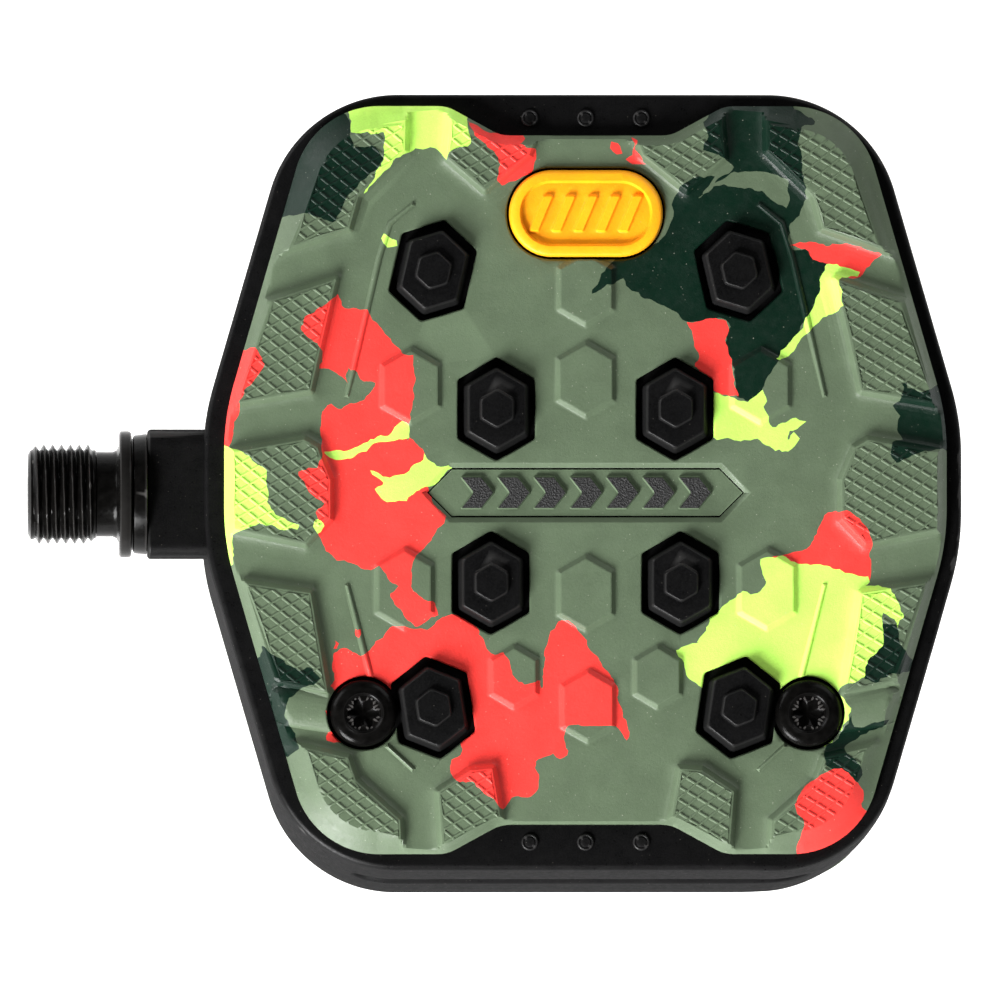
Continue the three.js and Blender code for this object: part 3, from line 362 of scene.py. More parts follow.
# Patches of coloured rubber in the tread, from the pad's centre, later ones over earlier ones.
# Their edges are made ragged when they are cut into the mesh.
PATCHES = [
    ("dark", [  # dark corner
        (-33.8, 51), (-33.6, 49.1), (-33.2, 47.7), (-31.2, 47.8), (-29.5, 47.2), (-28.9, 46.1),
        (-29.9, 44.9), (-33.2, 41.8), (-34.3, 40.3), (-35.8, 37.2), (-37.6, 37.3), (-39.9, 38.1),
        (-43, 37.9), (-45.8, 37.7), (-45.3, 48.5), (-36.1, 53.6),
    ]),
    ("neon", [  # neon corner
        (-33.8, 51), (-33.7, 49.8), (-30.9, 49.6), (-29, 49.9), (-28.7, 48.7), (-29.1, 47.2),
        (-29.1, 45.8), (-30.3, 43.8), (-31.7, 41.2), (-29.9, 43.2), (-27.5, 45.6), (-25.3, 47.1),
        (-21.4, 47.6), (-20, 45.9), (-19.1, 47.4), (-16.6, 48.1), (-17.1, 51.3), (-17.6, 55.1),
        (-33.7, 55.1),
    ]),
    ("neon", [  # neon fleck
        (-29.5, 34.6), (-29, 35.6), (-28.3, 34.8), (-27.4, 34.2), (-27.1, 33.6), (-28.4, 33.4),
        (-29.1, 33.9),
    ]),
    ("red", [  # red main
        (-35.6, 26.6), (-35, 25), (-33.4, 24.6), (-31.4, 24.3), (-30.1, 22.5), (-28.1, 20.2),
        (-26.3, 18.2), (-24.9, 17.8), (-24.5, 15.4), (-25, 10), (-25.4, 8.1), (-25.5, 5.9), (-25.3, 6.3),
        (-23.2, 3.9), (-22.2, -2.9), (-20, -5.2), (-21.2, -7), (-23.2, -9.8), (-24.9, -11.6),
        (-25, -15.2), (-24.4, -16.3), (-21.7, -17.7), (-21.4, -19.2), (-24.4, -20.9), (-26.6, -18.5),
        (-28.2, -16.7), (-27, -15.2), (-28.4, -14), (-29.6, -12.2), (-30.8, -12.9), (-33.7, -12),
        (-36.1, -11.1), (-38.1, -8.8), (-38.6, -4.7), (-37.8, -3.4), (-39.6, -1.6), (-41.2, 1.1),
        (-38.7, 1.9), (-37.8, 4), (-37.8, 4.3), (-38, 6.4), (-37.5, 10.1), (-36.5, 11), (-35.5, 10.2),
        (-32.4, 11.3), (-31, 12.3), (-30.2, 13.9), (-31.9, 14.1), (-32.8, 15.4), (-34, 16.1),
        (-34.6, 15.4), (-34.1, 13.8), (-35, 14.8), (-36.3, 15.6), (-38, 16.1), (-37.9, 18.4),
        (-39.6, 20.5), (-41, 21.6), (-40.5, 22.9), (-39.1, 24.1), (-37.3, 25.2),
    ]),
    ("red", [  # red edge
        (-48.8, 18.7), (-47.5, 18.8), (-46.6, 17.4), (-46.1, 16.6), (-47.5, 14.5), (-48.8, 12.8),
        (-49.6, 11.3), (-49.5, 9.7), (-50.5, 7.7), (-50.6, 6.1), (-51.2, 5), (-52.7, 5.1), (-51.1, 18.7),
    ]),
    ("neon", [  # neon edge
        (-51.3, 4.8), (-49.5, 4.2), (-47.8, 2.7), (-46, 1.2), (-45.7, -1.1), (-45.6, -3.1),
        (-44.5, -4.9), (-42.7, -5.7), (-40.9, -6.8), (-42.2, -7.1), (-44.3, -7), (-45, -6.4),
        (-46.8, -6.3), (-48.9, -6.9), (-50.7, -7.8), (-50.7, -10.3), (-50.3, -11.6), (-50.9, -12.4),
        (-53, -10.6), (-53, 4.8),
    ]),
    ("neon", [  # neon dot
        (-39.1, -6.7), (-38.5, -5.4), (-37.6, -6.1), (-37.6, -7), (-38.5, -7.7),
    ]),
    ("neon", [  # neon streak
        (-37.7, 4.2), (-34.7, 4.3), (-32.2, 4.9), (-30.9, 5.9), (-28.4, 6.4), (-27.4, 7.5), (-26.3, 8.2),
        (-25.3, 8), (-25.4, 6.1), (-28.3, 5.6), (-30.4, 5.2), (-31.6, 4.3), (-34.2, 3.1), (-36.3, 2.9),
    ]),
    ("neon", [  # neon splash
        (-23.2, 3.9), (-21.4, 2), (-19.7, 2.2), (-19, 1.7), (-20.2, 1), (-21.4, -0.6), (-24, -1.3),
        (-25.7, -2.9), (-27.9, -3), (-29.4, -2.6), (-30.2, -1.3), (-28.7, -0.6), (-29.9, 0.4),
        (-30.8, 1.3), (-29.1, 0.5), (-27.1, 0.7), (-25, 1.7), (-23.8, 2.5),
    ]),
    ("dark", [  # dark low left
        (-46.5, -23.6), (-44.2, -25.4), (-41.1, -27.2), (-39.6, -26.6), (-38.3, -28.4), (-39.1, -29.3),
        (-41, -30.1), (-42.7, -31.7), (-43.2, -33.7), (-41.4, -36.7), (-41.1, -38.5), (-43.1, -39.8),
        (-44.5, -37.6), (-46.8, -30.7), (-48.3, -25.8), (-46.6, -25.4),
    ]),
    ("red", [  # red low
        (-36.4, -25.2), (-34.7, -24.1), (-32.2, -25.3), (-30.9, -24.4), (-29.6, -22.8), (-27.8, -20.8),
        (-26.5, -20.9), (-24.6, -21.3), (-22.3, -21.4), (-21, -19.9), (-18.8, -19.1), (-16.8, -20),
        (-15.4, -21.7), (-14.1, -24.2), (-13.1, -25.1), (-11.8, -24.6), (-10.9, -26.4), (-10.7, -27.9),
        (-8.9, -29.4), (-6.5, -28.6), (-6.3, -29.9), (-5.7, -24.2), (-4.9, -21.7), (-3.5, -20),
        (-1.8, -20.7), (-0.3, -22.7), (1.3, -25.2), (4.2, -28.9), (4.7, -31.6), (6.3, -36.1), (5.9, -37),
        (4.3, -35.3), (-0, -35.3), (-2, -34.9), (-3, -35.6), (-3.3, -36.8), (-2.6, -38.8), (-3.7, -40),
        (-4.7, -39.4), (-7.2, -40.3), (-6.7, -42.7), (-7.7, -45.4), (-10.2, -45.2), (-11.9, -47.2),
        (-13.4, -45.7), (-16.3, -43.2), (-18.1, -43.2), (-19.6, -42), (-19.3, -40), (-17.6, -38.5),
        (-21.3, -34.3), (-21.9, -35.3), (-32.2, -33.7), (-35.9, -30.1), (-36.8, -29.5), (-36, -28.6),
        (-36.3, -26.3),
    ]),
    ("red", [  # red by screw
        (-37.3, -33.1), (-36.6, -33.2), (-36, -35.5), (-34.2, -36.3), (-35, -37.6), (-37.2, -37.3),
        (-36.3, -35.8),
    ]),
    ("red", [  # red fleck 1
        (-36, -22.8), (-35.4, -23.4), (-35.6, -24.4), (-36.1, -24.1),
    ]),
    ("red", [  # red fleck 2
        (-33.1, -20.9), (-32.4, -21.4), (-32.5, -22.7), (-33, -22.3),
    ]),
    ("red", [  # red notch
        (-17, 51.6), (-14.2, 50), (-12, 49.4), (-9, 49.5), (-8.5, 48.9), (-9.8, 48.2), (-7.2, 47.4),
        (-7.2, 46.5), (-7.9, 44.1), (-12, 42.3), (-12.7, 43), (-12.4, 45.2), (-13.1, 46.7),
        (-16.1, 49.8),
    ]),
    ("red", [  # red spot 1
        (3.8, 48.3), (4.6, 48.3), (5.3, 46.8), (4.4, 46.7), (3.6, 47.6),
    ]),
    ("red", [  # red spot 2
        (6.6, 49.1), (7.5, 48.7), (7, 47.4), (8, 46.1), (8.6, 45.3), (7.2, 45.2), (5.9, 46), (6.9, 47.1),
    ]),
    ("dark", [  # dark main
        (18.6, 53.6), (17, 51.3), (17.4, 49.2), (17, 47.4), (18.6, 46.8), (20.1, 45.7), (21.3, 44.9),
        (20.4, 44.1), (18.6, 42.9), (18.3, 41.9), (16.1, 40.3), (18.6, 43.6), (14.3, 42.9), (13.4, 41.3),
        (12.4, 40.4), (12.5, 37.4), (10.7, 34.4), (5, 32), (2.8, 30.5), (1.9, 28.5), (1, 26.9),
        (4.4, 28.5), (5.4, 29), (6.2, 27.4), (8.9, 25.9), (12.5, 24.4), (14.6, 22.6), (19.5, 23.3),
        (20.7, 22), (20.1, 20.2), (20.2, 18.7), (21, 16.9), (21.3, 13.9), (21.6, 11.9), (23.4, 11.4),
        (25.2, 12.6), (25.7, 14.2), (27.5, 17.2), (28.5, 18.4), (30.9, 22), (32.6, 24.7), (33.7, 28.4),
        (34.6, 31.1), (31.5, 33), (29.6, 33), (29, 35), (29.3, 36.8), (30.6, 38), (31.5, 40.4),
        (31.2, 43.5), (30.9, 46.2), (30.6, 48.9), (30.9, 50.6), (32.7, 51), (32.4, 51.9), (27.6, 54.3),
        (19.8, 54.3),
    ]),
    ("sage", [  # sage arc
        (18.3, 42.2), (19.8, 43.5), (21.3, 44.2), (23.4, 44.4), (25.5, 44.1), (27.6, 43.8), (28.8, 42.9),
        (29.3, 40.7), (28.7, 39.2), (27.2, 40.1), (25.2, 41.3), (22.8, 41.9), (20.4, 42.2),
    ]),
    ("red", [  # red top right
        (14.6, 22.6), (17.3, 22.9), (18.6, 23.3), (20.1, 22.8), (20.6, 21.4), (20, 20.2), (20.5, 18.1),
        (21.1, 16.3), (21.3, 13.9), (21.9, 11.9), (20.1, 12.3), (18.3, 12.9), (17.3, 15.1), (15.5, 16.3),
        (16.1, 17.2), (15.8, 19.3), (15.2, 21.4),
    ]),
    ("red", [  # red flash
        (29.6, 33.7), (30.7, 34.1), (32.5, 34.2), (34.5, 33.6), (37.3, 33.9), (39.4, 33.3), (42.2, 32.3),
        (40.9, 31.2), (40, 30), (38.9, 29), (37.8, 29), (36.3, 30.3), (34.5, 30.9), (32.7, 31.8),
        (31.4, 33),
    ]),
    ("neon", [  # neon flash
        (34.5, 31), (36, 30.9), (39.2, 29.8), (38.9, 29.3), (36.6, 29.2), (36.4, 27.9), (36.6, 25.6),
        (36.9, 25), (35.3, 23.8), (33.7, 22.9), (31.7, 21), (30.1, 18.9), (27.8, 17.1), (27.3, 17.4),
        (29.1, 19.5), (30.7, 21.5), (31.2, 22.4), (32.2, 24.1), (33.5, 26.9), (33.6, 28.7),
    ]),
    ("neon", [  # neon right
        (17.6, 12.8), (19.9, 11.9), (21.7, 11.5), (23.1, 11.4), (24.8, 12.5), (25.3, 12.9), (25.8, 11.3),
        (25.5, 10.5), (26.8, 7.7), (28.6, 8.4), (30.1, 8.8), (31.2, 8.3), (30.8, 7.5), (29.1, 7.2),
        (28.9, 5.6), (29.9, 6.6), (30.8, 6), (30.1, 4.8), (29, 4.1), (26.8, 4.6), (24.6, 5.9),
        (22.7, 5.7), (20.7, 5.9), (17.6, 6.5),
    ]),
    ("dark", [  # dark edge
        (43.9, 10.7), (44.8, 11.5), (45.5, 12.8), (45.3, 13.8), (46, 14.1), (46.2, 13.3), (48.1, 12.7),
        (50.4, 13.6), (52.7, 13.8), (52.7, 4.6), (51.2, 4.6), (48.1, 4.1), (45.5, 2.8), (44.5, 2.5),
        (43.7, 3.6), (44, 5.4), (45.3, 5.9), (44.6, 7.7), (45, 9.2),
    ]),
    ("red", [  # red right
        (34.2, -5.1), (35.3, -4.5), (37.3, -4.5), (39.1, -5.6), (40.4, -7.4), (41.1, -9.4),
        (40.7, -10.5), (40.9, -13), (40.7, -14.3), (38.6, -14.3), (34.8, -13), (30.7, -12.3),
        (27.6, -11), (25, -11.4), (29.1, -10.5), (31.2, -10.1), (32.5, -8.9),
    ]),
    ("dark", [  # dark by neon
        (42.6, -20.4), (44.4, -20.9), (44.8, -22.7), (45.8, -24.5), (46.8, -25.8), (46.4, -27.3),
        (44.5, -27.8), (42.7, -28.4), (41.9, -28.9), (40, -28.4), (39.1, -27.6), (39.4, -26.3),
        (40.9, -22.5),
    ]),
    ("dark", [  # dark low right
        (38, -33.9), (38.5, -35.3), (39.9, -35.5), (41.4, -34.8), (43.2, -34.5), (42.4, -35.3),
        (39.4, -36.6), (37.8, -37.6), (36.8, -38.3), (37.8, -39.4), (39.1, -40.9), (39.4, -42.2),
        (38.9, -43.1), (37.3, -41.9), (35.8, -41.3), (34.4, -40.8), (34.1, -38.9), (35.8, -37.3),
        (37.1, -35.3),
    ]),
    ("neon", [  # neon main
        (25.2, -11.5), (27.6, -10.8), (29.1, -11.2), (30.4, -12), (32.7, -12), (35, -12.4),
        (36.8, -13.2), (40.4, -13.9), (40.7, -14.6), (39.9, -15.1), (41.9, -15.1), (43.6, -15.6),
        (45, -18.2), (45.3, -19.7), (44.6, -21), (44.1, -20), (42.7, -19.3), (42.4, -20.5), (42.7, -23),
        (42.6, -22.2), (42.4, -24), (40.7, -25.4), (40, -26.8), (39.8, -28.1), (38.6, -28.9),
        (36.6, -29.5), (36.4, -30.4), (37.1, -31.9), (38, -32.7), (37.3, -34.8), (35.8, -36.3),
        (35.3, -37.6), (33.7, -38.2), (31.7, -34.2), (22.5, -32.2), (16.6, -29.8), (14.5, -27.9),
        (14, -26.2), (12.8, -24.3), (16.2, -23.2), (15.8, -23.3), (17.1, -21.5), (18.1, -19.4),
        (20.7, -17.4), (22.5, -15.9), (23.6, -16.4), (25, -15.9), (25.8, -14.6), (25.2, -13.5),
    ]),
    ("red", [  # red low right
        (33.9, -41.9), (35, -41.3), (36.6, -41.4), (38.3, -42.7), (39.6, -44), (39.8, -46.8),
        (40.7, -48.1), (39.6, -50.4), (35.3, -53.7), (30.1, -54), (30.7, -51.4), (31.3, -49.9),
        (31.2, -48.9), (29.8, -46.5), (30.4, -45.3), (32.2, -43.2),
    ]),
]


# ---- outlines ---------------------------------------------------------------------------------


def rounded(corners, step):
    """Closed outline through rounded corners, each (x, y, radius), with arcs of about `step`."""
    outline = []
    count = len(corners)
    for i, (x, y, radius) in enumerate(corners):
        here = np.array((x, y), float)
        before = np.array(corners[i - 1][:2], float) - here
        after = np.array(corners[(i + 1) % count][:2], float) - here
        room = 0.49 * min(np.hypot(*before), np.hypot(*after))
        before /= np.hypot(*before)
        after /= np.hypot(*after)
        half = math.acos(max(-1.0, min(1.0, float(before @ after)))) / 2
        reach = min(radius / math.tan(half), room)
        true_radius = reach * math.tan(half)
        inward = before + after
        centre = here + inward / np.hypot(*inward) * true_radius / math.sin(half)
        start = here + before * reach - centre
        end = here + after * reach - centre
        turn = math.atan2(start[0] * end[1] - start[1] * end[0], float(start @ end))
        pieces = max(2, int(abs(turn) * true_radius / step))
        for k in range(pieces + 1):
            a = turn * k / pieces
            spin = np.array(((math.cos(a), -math.sin(a)), (math.sin(a), math.cos(a))))
            outline.append(tuple(centre + spin @ start))
    return outline


def resampled(points, step):
    """The same outline with extra points, so that no stretch is longer than `step`."""
    finer = []
    for a, b in zip(np.array(points, float), np.roll(points, -1, 0)):
        pieces = max(1, math.ceil(np.hypot(*(b - a)) / step))
        finer += [tuple(a + (b - a) * k / pieces) for k in range(pieces)]
    return finer


def normals(points):
    """Unit vectors that point into a closed outline, with the stretch that a mitre needs."""
    p = np.array(points, float)
    edge = np.roll(p, -1, 0) - p
    edge /= np.hypot(*edge.T)[:, None]
    side = np.stack((-edge[:, 1], edge[:, 0]), 1)
    if area(points) < 0:
        side = -side
    both = side + np.roll(side, 1, 0)
    return both * (2 / np.maximum((both * both).sum(1), 0.5))[:, None]


def area(points):
    p = np.array(points, float)
    q = np.roll(p, -1, 0)
    return float((p[:, 0] * q[:, 1] - p[:, 1] * q[:, 0]).sum() / 2)


def inset(points, depth):
    """Outline moved inwards by `depth`, a number or one number for each point."""
    depth = np.broadcast_to(depth, len(points))
    return [tuple(p) for p in np.array(points, float) + normals(points) * depth[:, None]]


def insets(points, depths):
    """The outline at several depths, as (points, closed) pairs."""
    return [(inset(points, depth), True) for depth in depths]


def distance(places, outline, closed=True):
    """Distance of each place to an outline; for a closed one it is positive inside."""
    places = np.asarray(places, float)
    a = np.asarray(outline, float)
    b = np.roll(a, -1, 0)
    if not closed:
        a, b = a[:-1], b[:-1]
    e = b - a
    length = np.maximum((e * e).sum(1), 1e-12)
    out = np.empty(len(places))
    for first in range(0, len(places), BLOCK):
        p = places[first:first + BLOCK, None, :]
        t = np.clip(((p - a) * e).sum(2) / length, 0, 1)
        gap = p - a - t[..., None] * e
        near = np.sqrt((gap * gap).sum(2)).min(1)
        if closed:
            near *= np.where(inside(p[:, 0], outline), 1, -1)
        out[first:first + BLOCK] = near
    return out


def inside(places, outline):
    """Whether each place is inside a closed outline."""
    places = np.asarray(places, float)
    a = np.asarray(outline, float)
    b = np.roll(a, -1, 0)
    found = np.zeros(len(places), bool)
    low, high = a.min(0), a.max(0)
    chosen = np.flatnonzero(((places >= low) & (places <= high)).all(1))
    for first in range(0, len(chosen), BLOCK):
        picked = chosen[first:first + BLOCK]
        x, y = places[picked, 0, None], places[picked, 1, None]
        above = (a[:, 1] > y) != (b[:, 1] > y)
        rise = np.where(b[:, 1] == a[:, 1], 1, b[:, 1] - a[:, 1])
        crossing = a[:, 0] + (y - a[:, 1]) * (b[:, 0] - a[:, 0]) / rise
        found[picked] = (above & (x < crossing)).sum(1) % 2 == 1
    return found


def hexagon(across, along, x, y, lean, corner):
    """Hexagon with a point at top and bottom, `across` wide and `along` high."""
    turn = math.radians(lean)
    shoulder = along / 2 - across / 2 / math.sqrt(3)
    half = across / 2
    corners = [(0, along / 2), (-half, shoulder), (-half, -shoulder),
               (0, -along / 2), (half, -shoulder), (half, shoulder)]
    c, s = math.cos(turn), math.sin(turn)
    return rounded([(x + u * c - v * s, y + u * s + v * c, corner) for u, v in corners], corner / 3)


def circle(x, y, radius, count=48):
    turns = [TAU * k / count for k in range(count)]
    return [(x + radius * math.cos(a), y + radius * math.sin(a)) for a in turns]


def box_outline(x, y, w, h, corner, step):
    """Rounded rectangle that reaches `w` and `h` to each side of its centre."""
    corners = [(x + w, y - h), (x + w, y + h), (x - w, y + h), (x - w, y - h)]
    return rounded([(u, v, corner) for u, v in corners], step)


def mirrored(points):
    return [(-x, y) for x, y in reversed(points)]


def both_sides(outlines):
    return [line for points in outlines for line in (list(points), mirrored(points))]


def ragged(points, seed, step=0.45):
    """Torn, wavy version of a patch's outline."""
    count = len(points)
    smooth = []
    for i in range(count):
        p0, p1, p2, p3 = (np.array(points[(i + k) % count], float) for k in (-1, 0, 1, 2))
        pieces = max(1, int(np.hypot(*(p2 - p1)) / step))
        for k in range(pieces):
            t = k / pieces
            curve = (2 * p1 + (p2 - p0) * t + (2 * p0 - 5 * p1 + 4 * p2 - p3) * t * t
                     + (3 * p1 - p0 - 3 * p2 + p3) * t ** 3) / 2
            smooth.append(0.5 * curve + 0.5 * (p1 + (p2 - p1) * t))
    push = []
    for x, y in smooth:
        wave, tear = (noise.noise(Vector((x * pace, y * pace, seed + shift))) * size
                      for (pace, size), shift in ((WAVE, 0), (TEAR, 7)))
        push.append(wave + tear)
    return inset([tuple(p) for p in smooth], np.array(push) * RAGGED)


# ---- meshes -----------------------------------------------------------------------------------


def make_mesh(name, vertices, faces, face_material=None):
    mesh = bpy.data.meshes.new(name)
    mesh.from_pydata((np.asarray(vertices, float) * MM).tolist(), [], faces)
    if face_material is not None:
        mesh.polygons.foreach_set("material_index", np.asarray(face_material, np.int32))
    mesh.update()
    return mesh


def shaded(mesh, angle):
    """Smooth faces with creases where the surface turns by more than `angle`."""
    mesh.polygons.foreach_set("use_smooth", [True] * len(mesh.polygons))
    mesh.set_sharp_from_angle(angle=math.radians(angle))
    return mesh


def closed_outwards(mesh):
    """Joins equal vertices and turns every face outwards."""
    work = bmesh.new()
    work.from_mesh(mesh)
    bmesh.ops.remove_doubles(work, verts=work.verts, dist=1e-7)
    bmesh.ops.recalc_face_normals(work, faces=work.faces)
    work.to_mesh(mesh)
    work.free()
    return mesh


def show(name, mesh, body, nodes, materials, angle):
    """Puts a mesh in the scene as a piece that stands for CAD nodes."""
    piece = bpy.data.objects.new(name, shaded(mesh, angle))
    bpy.context.scene.collection.objects.link(piece)
    for material in materials:
        mesh.materials.append(material)
    weighted = piece.modifiers.new("even_normals", "WEIGHTED_NORMAL")
    weighted.keep_sharp = True
    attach(piece, body)
    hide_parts(*nodes)


def turned_over(mesh):
    """Copy of a mesh turned half a turn about the axle."""
    copy = mesh.copy()
    copy.transform(Matrix.Rotation(math.pi, 4, "X"))
    return copy


def combined(mesh, others, operation):
    """Boolean of a mesh with the meshes that change it."""
    base = bpy.data.objects.new("base", mesh)
    bpy.context.scene.collection.objects.link(base)
    tools = []
    for other in others:
        tool = bpy.data.objects.new("tool", other)
        bpy.context.scene.collection.objects.link(tool)
        step = base.modifiers.new("cut", "BOOLEAN")
        step.operation = operation
        step.solver = "EXACT"
        step.object = tool
        tools.append(tool)
    graph = bpy.context.evaluated_depsgraph_get()
    result = bpy.data.meshes.new_from_object(base.evaluated_get(graph))
    for thing in [base, *tools]:
        bpy.data.objects.remove(thing)
    return result


def gridded(mesh):
    """Cuts a mesh along an upright grid, so that its flat faces are no huge polygons."""
    work = bmesh.new()
    work.from_mesh(mesh)
    for axis in (Vector((1, 0, 0)), Vector((0, 1, 0))):
        reach = [v.co.dot(axis) / MM for v in work.verts]
        for place in np.arange(min(reach) + GRID_PITCH / 2, max(reach), GRID_PITCH):
            bmesh.ops.bisect_plane(work, geom=work.verts[:] + work.edges[:] + work.faces[:], dist=1e-7,
                                   plane_co=axis * place * MM, plane_no=axis)
    work.to_mesh(mesh)
    work.free()
    return mesh


def joined(name, meshes):
    """One mesh that holds several separate shells."""
    work = bmesh.new()
    for mesh in meshes:
        work.from_mesh(mesh)
    result = bpy.data.meshes.new(name)
    work.to_mesh(result)
    work.free()
    return result


def skin(rows):
    """Faces between rows of vertex numbers. A tip is a row that repeats one vertex."""
    faces = []
    for a, b in zip(rows, rows[1:]):
        for i in range(len(a)):
            j = (i + 1) % len(a)
            corners = [a[i], a[j], b[j], b[i]]
            face = [v for n, v in enumerate(corners) if v != corners[n - 1]]
            if len(face) > 2:
                faces.append(tuple(face))
    return faces


def loft(name, rings):
    """Closed skin over rings of equal point count, each a list of (x, y, z)."""
    count = len(rings[0])
    vertices = [p for ring in rings for p in ring]
    rows = [range(level * count, (level + 1) * count) for level in range(len(rings))]
    faces = skin(rows) + [tuple(reversed(rows[0])), tuple(rows[-1])]
    return closed_outwards(make_mesh(name, vertices, faces))


def lathed(name, profile, count=96, upright=None, swell=None):
    """Piece turned about the X axis, or about an upright axis through the point `upright`.

    The profile is (along, radius) pairs, which start and end on the axis. `swell` adds to the
    radius by the place along the axis, the radius and the turn.
    """
    vertices = []
    rows = []
    for along, radius in profile:
        if radius < 1e-6:
            rows.append([len(vertices)] * count)
            vertices.append(turned_point(along, 0.0, 0.0, upright))
            continue
        rows.append(range(len(vertices), len(vertices) + count))
        for turn in (TAU * k / count for k in range(count)):
            reach = radius + (swell(along, radius, turn) if swell else 0.0)
            vertices.append(turned_point(along, reach, turn, upright))
    return closed_outwards(make_mesh(name, vertices, skin(rows)))


def turned_point(along, radius, angle, upright):
    if upright is None:
        return (along, radius * math.cos(angle), radius * math.sin(angle))
    return (upright[0] + radius * math.cos(angle), upright[1] + radius * math.sin(angle), along)


def twice_area(flat, triangles):
    """Twice the signed area of each triangle."""
    corner = flat[triangles]
    return np.cross(corner[:, 1] - corner[:, 0], corner[:, 2] - corner[:, 0])


def relief(name, lines, covered, height, bottom, paint=None):
    """Closed plate on the pad's centre whose upper face follows `height`.

    `lines` are the creases and edges, as (points, closed) pairs, `covered` says which triangles
    belong to the plate, and `paint` gives each of them a material number.
    """
    points, edges = [], []
    for line, closed in lines:
        first = len(points)
        points += [Vector(p) for p in line]
        edges += [(first + i, first + i + 1) for i in range(len(line) - 1)]
        if closed:
            edges.append((first + len(line) - 1, first))
    flat, _, triangles, *_ = delaunay_2d_cdt(points, edges, [], 0, 1e-4, False)
    flat = np.array([tuple(p) for p in flat])
    triangles = np.array([t for t in triangles if len(t) == 3])
    triangles = triangles[covered(flat[triangles].mean(1))]
    used, numbers = np.unique(triangles, return_inverse=True)
    triangles = numbers.reshape(-1, 3)
    flat = flat[used]
    cross = twice_area(flat, triangles)
    triangles[cross < 0] = triangles[cross < 0][:, ::-1]
    triangles = triangles[np.abs(cross) > 1e-9]
    count = len(flat)
    colours = paint(flat[triangles].mean(1)) if paint else np.zeros(len(triangles), int)
    directed = np.concatenate([triangles[:, [0, 1]], triangles[:, [1, 2]], triangles[:, [2, 0]]])
    owner = np.tile(np.arange(len(triangles)), 3)
    known = {tuple(e) for e in directed.tolist()}
    faces = triangles.tolist()
    numbers = colours.tolist()
    rim = []
    for (a, b), t in zip(directed.tolist(), owner.tolist()):
        if (b, a) not in known:
            rim.append((a, b))
            faces.append([b, a, a + count, b + count])
            numbers.append(int(colours[t]))
    on_rim = sorted({v for e in rim for v in e})
    place = {v: i for i, v in enumerate(on_rim)}
    rim_edges = [(place[a], place[b]) for a, b in rim]
    low = delaunay_2d_cdt([Vector(flat[v]) for v in on_rim], rim_edges, [], 0, 1e-6, True)
    low_flat = np.array([tuple(p) for p in low[0]])
    low_triangles = np.array([t for t in low[2] if len(t) == 3])
    low_triangles = low_triangles[covered(low_flat[low_triangles].mean(1))]
    origin = [on_rim[ids[0]] for ids in low[3]]
    for t, turn in zip(low_triangles.tolist(), twice_area(low_flat, low_triangles).tolist()):
        face = [origin[v] + count for v in t]
        faces.append(face[::-1] if turn > 0 else face)
        numbers.append(0)
    top = np.column_stack([flat, height(flat)])
    under = np.column_stack([flat, np.full(count, bottom)])
    vertices = np.concatenate([top, under]) + np.array((PAD_X, PAD_Y, 0.0))
    mesh = make_mesh(name, vertices, faces, numbers)
    work = bmesh.new()
    work.from_mesh(mesh)
    bmesh.ops.delete(work, geom=[v for v in work.verts if not v.link_faces], context="VERTS")
    work.to_mesh(mesh)
    work.free()
    return mesh


def ramp(value, profile):
    return np.interp(value, *profile)


# ---- tread pad --------------------------------------------------------------------------------


def depth_in(places, outline, reach=3.0):
    """Depth of each place inside a closed outline, and minus `reach` where it is far outside."""
    p = np.asarray(places, float)
    low = np.min(outline, axis=0) - reach
    high = np.max(outline, axis=0) + reach
    near = np.flatnonzero(((p > low) & (p < high)).all(1))
    depth = np.full(len(p), -reach)
    depth[near] = np.maximum(distance(p[near], outline), -reach)
    return depth


def turned_pair(upper):
    """Rounded outline whose lower half is the upper one turned half a turn."""
    return rounded(upper + [(-x, -y, r) for x, y, r in upper], 0.6)


def pad_outline():
    w, h, c = PAD_HALF_WIDTH, PAD_HALF_LENGTH, PAD_CORNER_X
    upper = [
        (w, SIDE_FLAT, SIDE_ROUND), (c, h, PAD_CORNER_ROUND), (NOTCH_MOUTH, h, NOTCH_ROUND),
        (NOTCH_HALF, NOTCH_FLOOR, NOTCH_ROUND), (-NOTCH_HALF, NOTCH_FLOOR, NOTCH_ROUND),
        (-NOTCH_MOUTH, h, NOTCH_ROUND), (-c, h, PAD_CORNER_ROUND), (-w, SIDE_FLAT, SIDE_ROUND),
    ]
    return turned_pair(upper)


def smooth(value, low, high):
    t = np.clip((np.asarray(value, float) - low) / (high - low), 0, 1)
    return t * t * (3 - 2 * t)


def chamfer_width(places):
    """Width of the slope round the pad's edge: narrow at the sides and notches, wide at corners."""
    x, y = np.abs(np.asarray(places, float)).T
    return EDGE_SLOPE[0] + EDGE_SLOPE[1] * smooth(y, 25, 45) * smooth(x, 24, 30)


def strip_outline(grow=0.0):
    low, high = STRIP_LOW[:2] - (PAD_X, PAD_Y), STRIP_HIGH[:2] - (PAD_X, PAD_Y)
    x, y = (low + high) / 2
    w, h = (high - low) / 2 + grow
    return [(x - w, y), (x - w + h, y - h), (x + w - h, y - h),
            (x + w, y), (x + w - h, y + h), (x - w + h, y + h)]


def badge_outline(grow=0.0):
    low, high = BADGE_LOW[:2] - (PAD_X, PAD_Y), BADGE_HIGH[:2] - (PAD_X, PAD_Y)
    w, h = (high - low + 2 * grow) / 2
    return box_outline(*(low + high) / 2, w, h, h, 0.5)


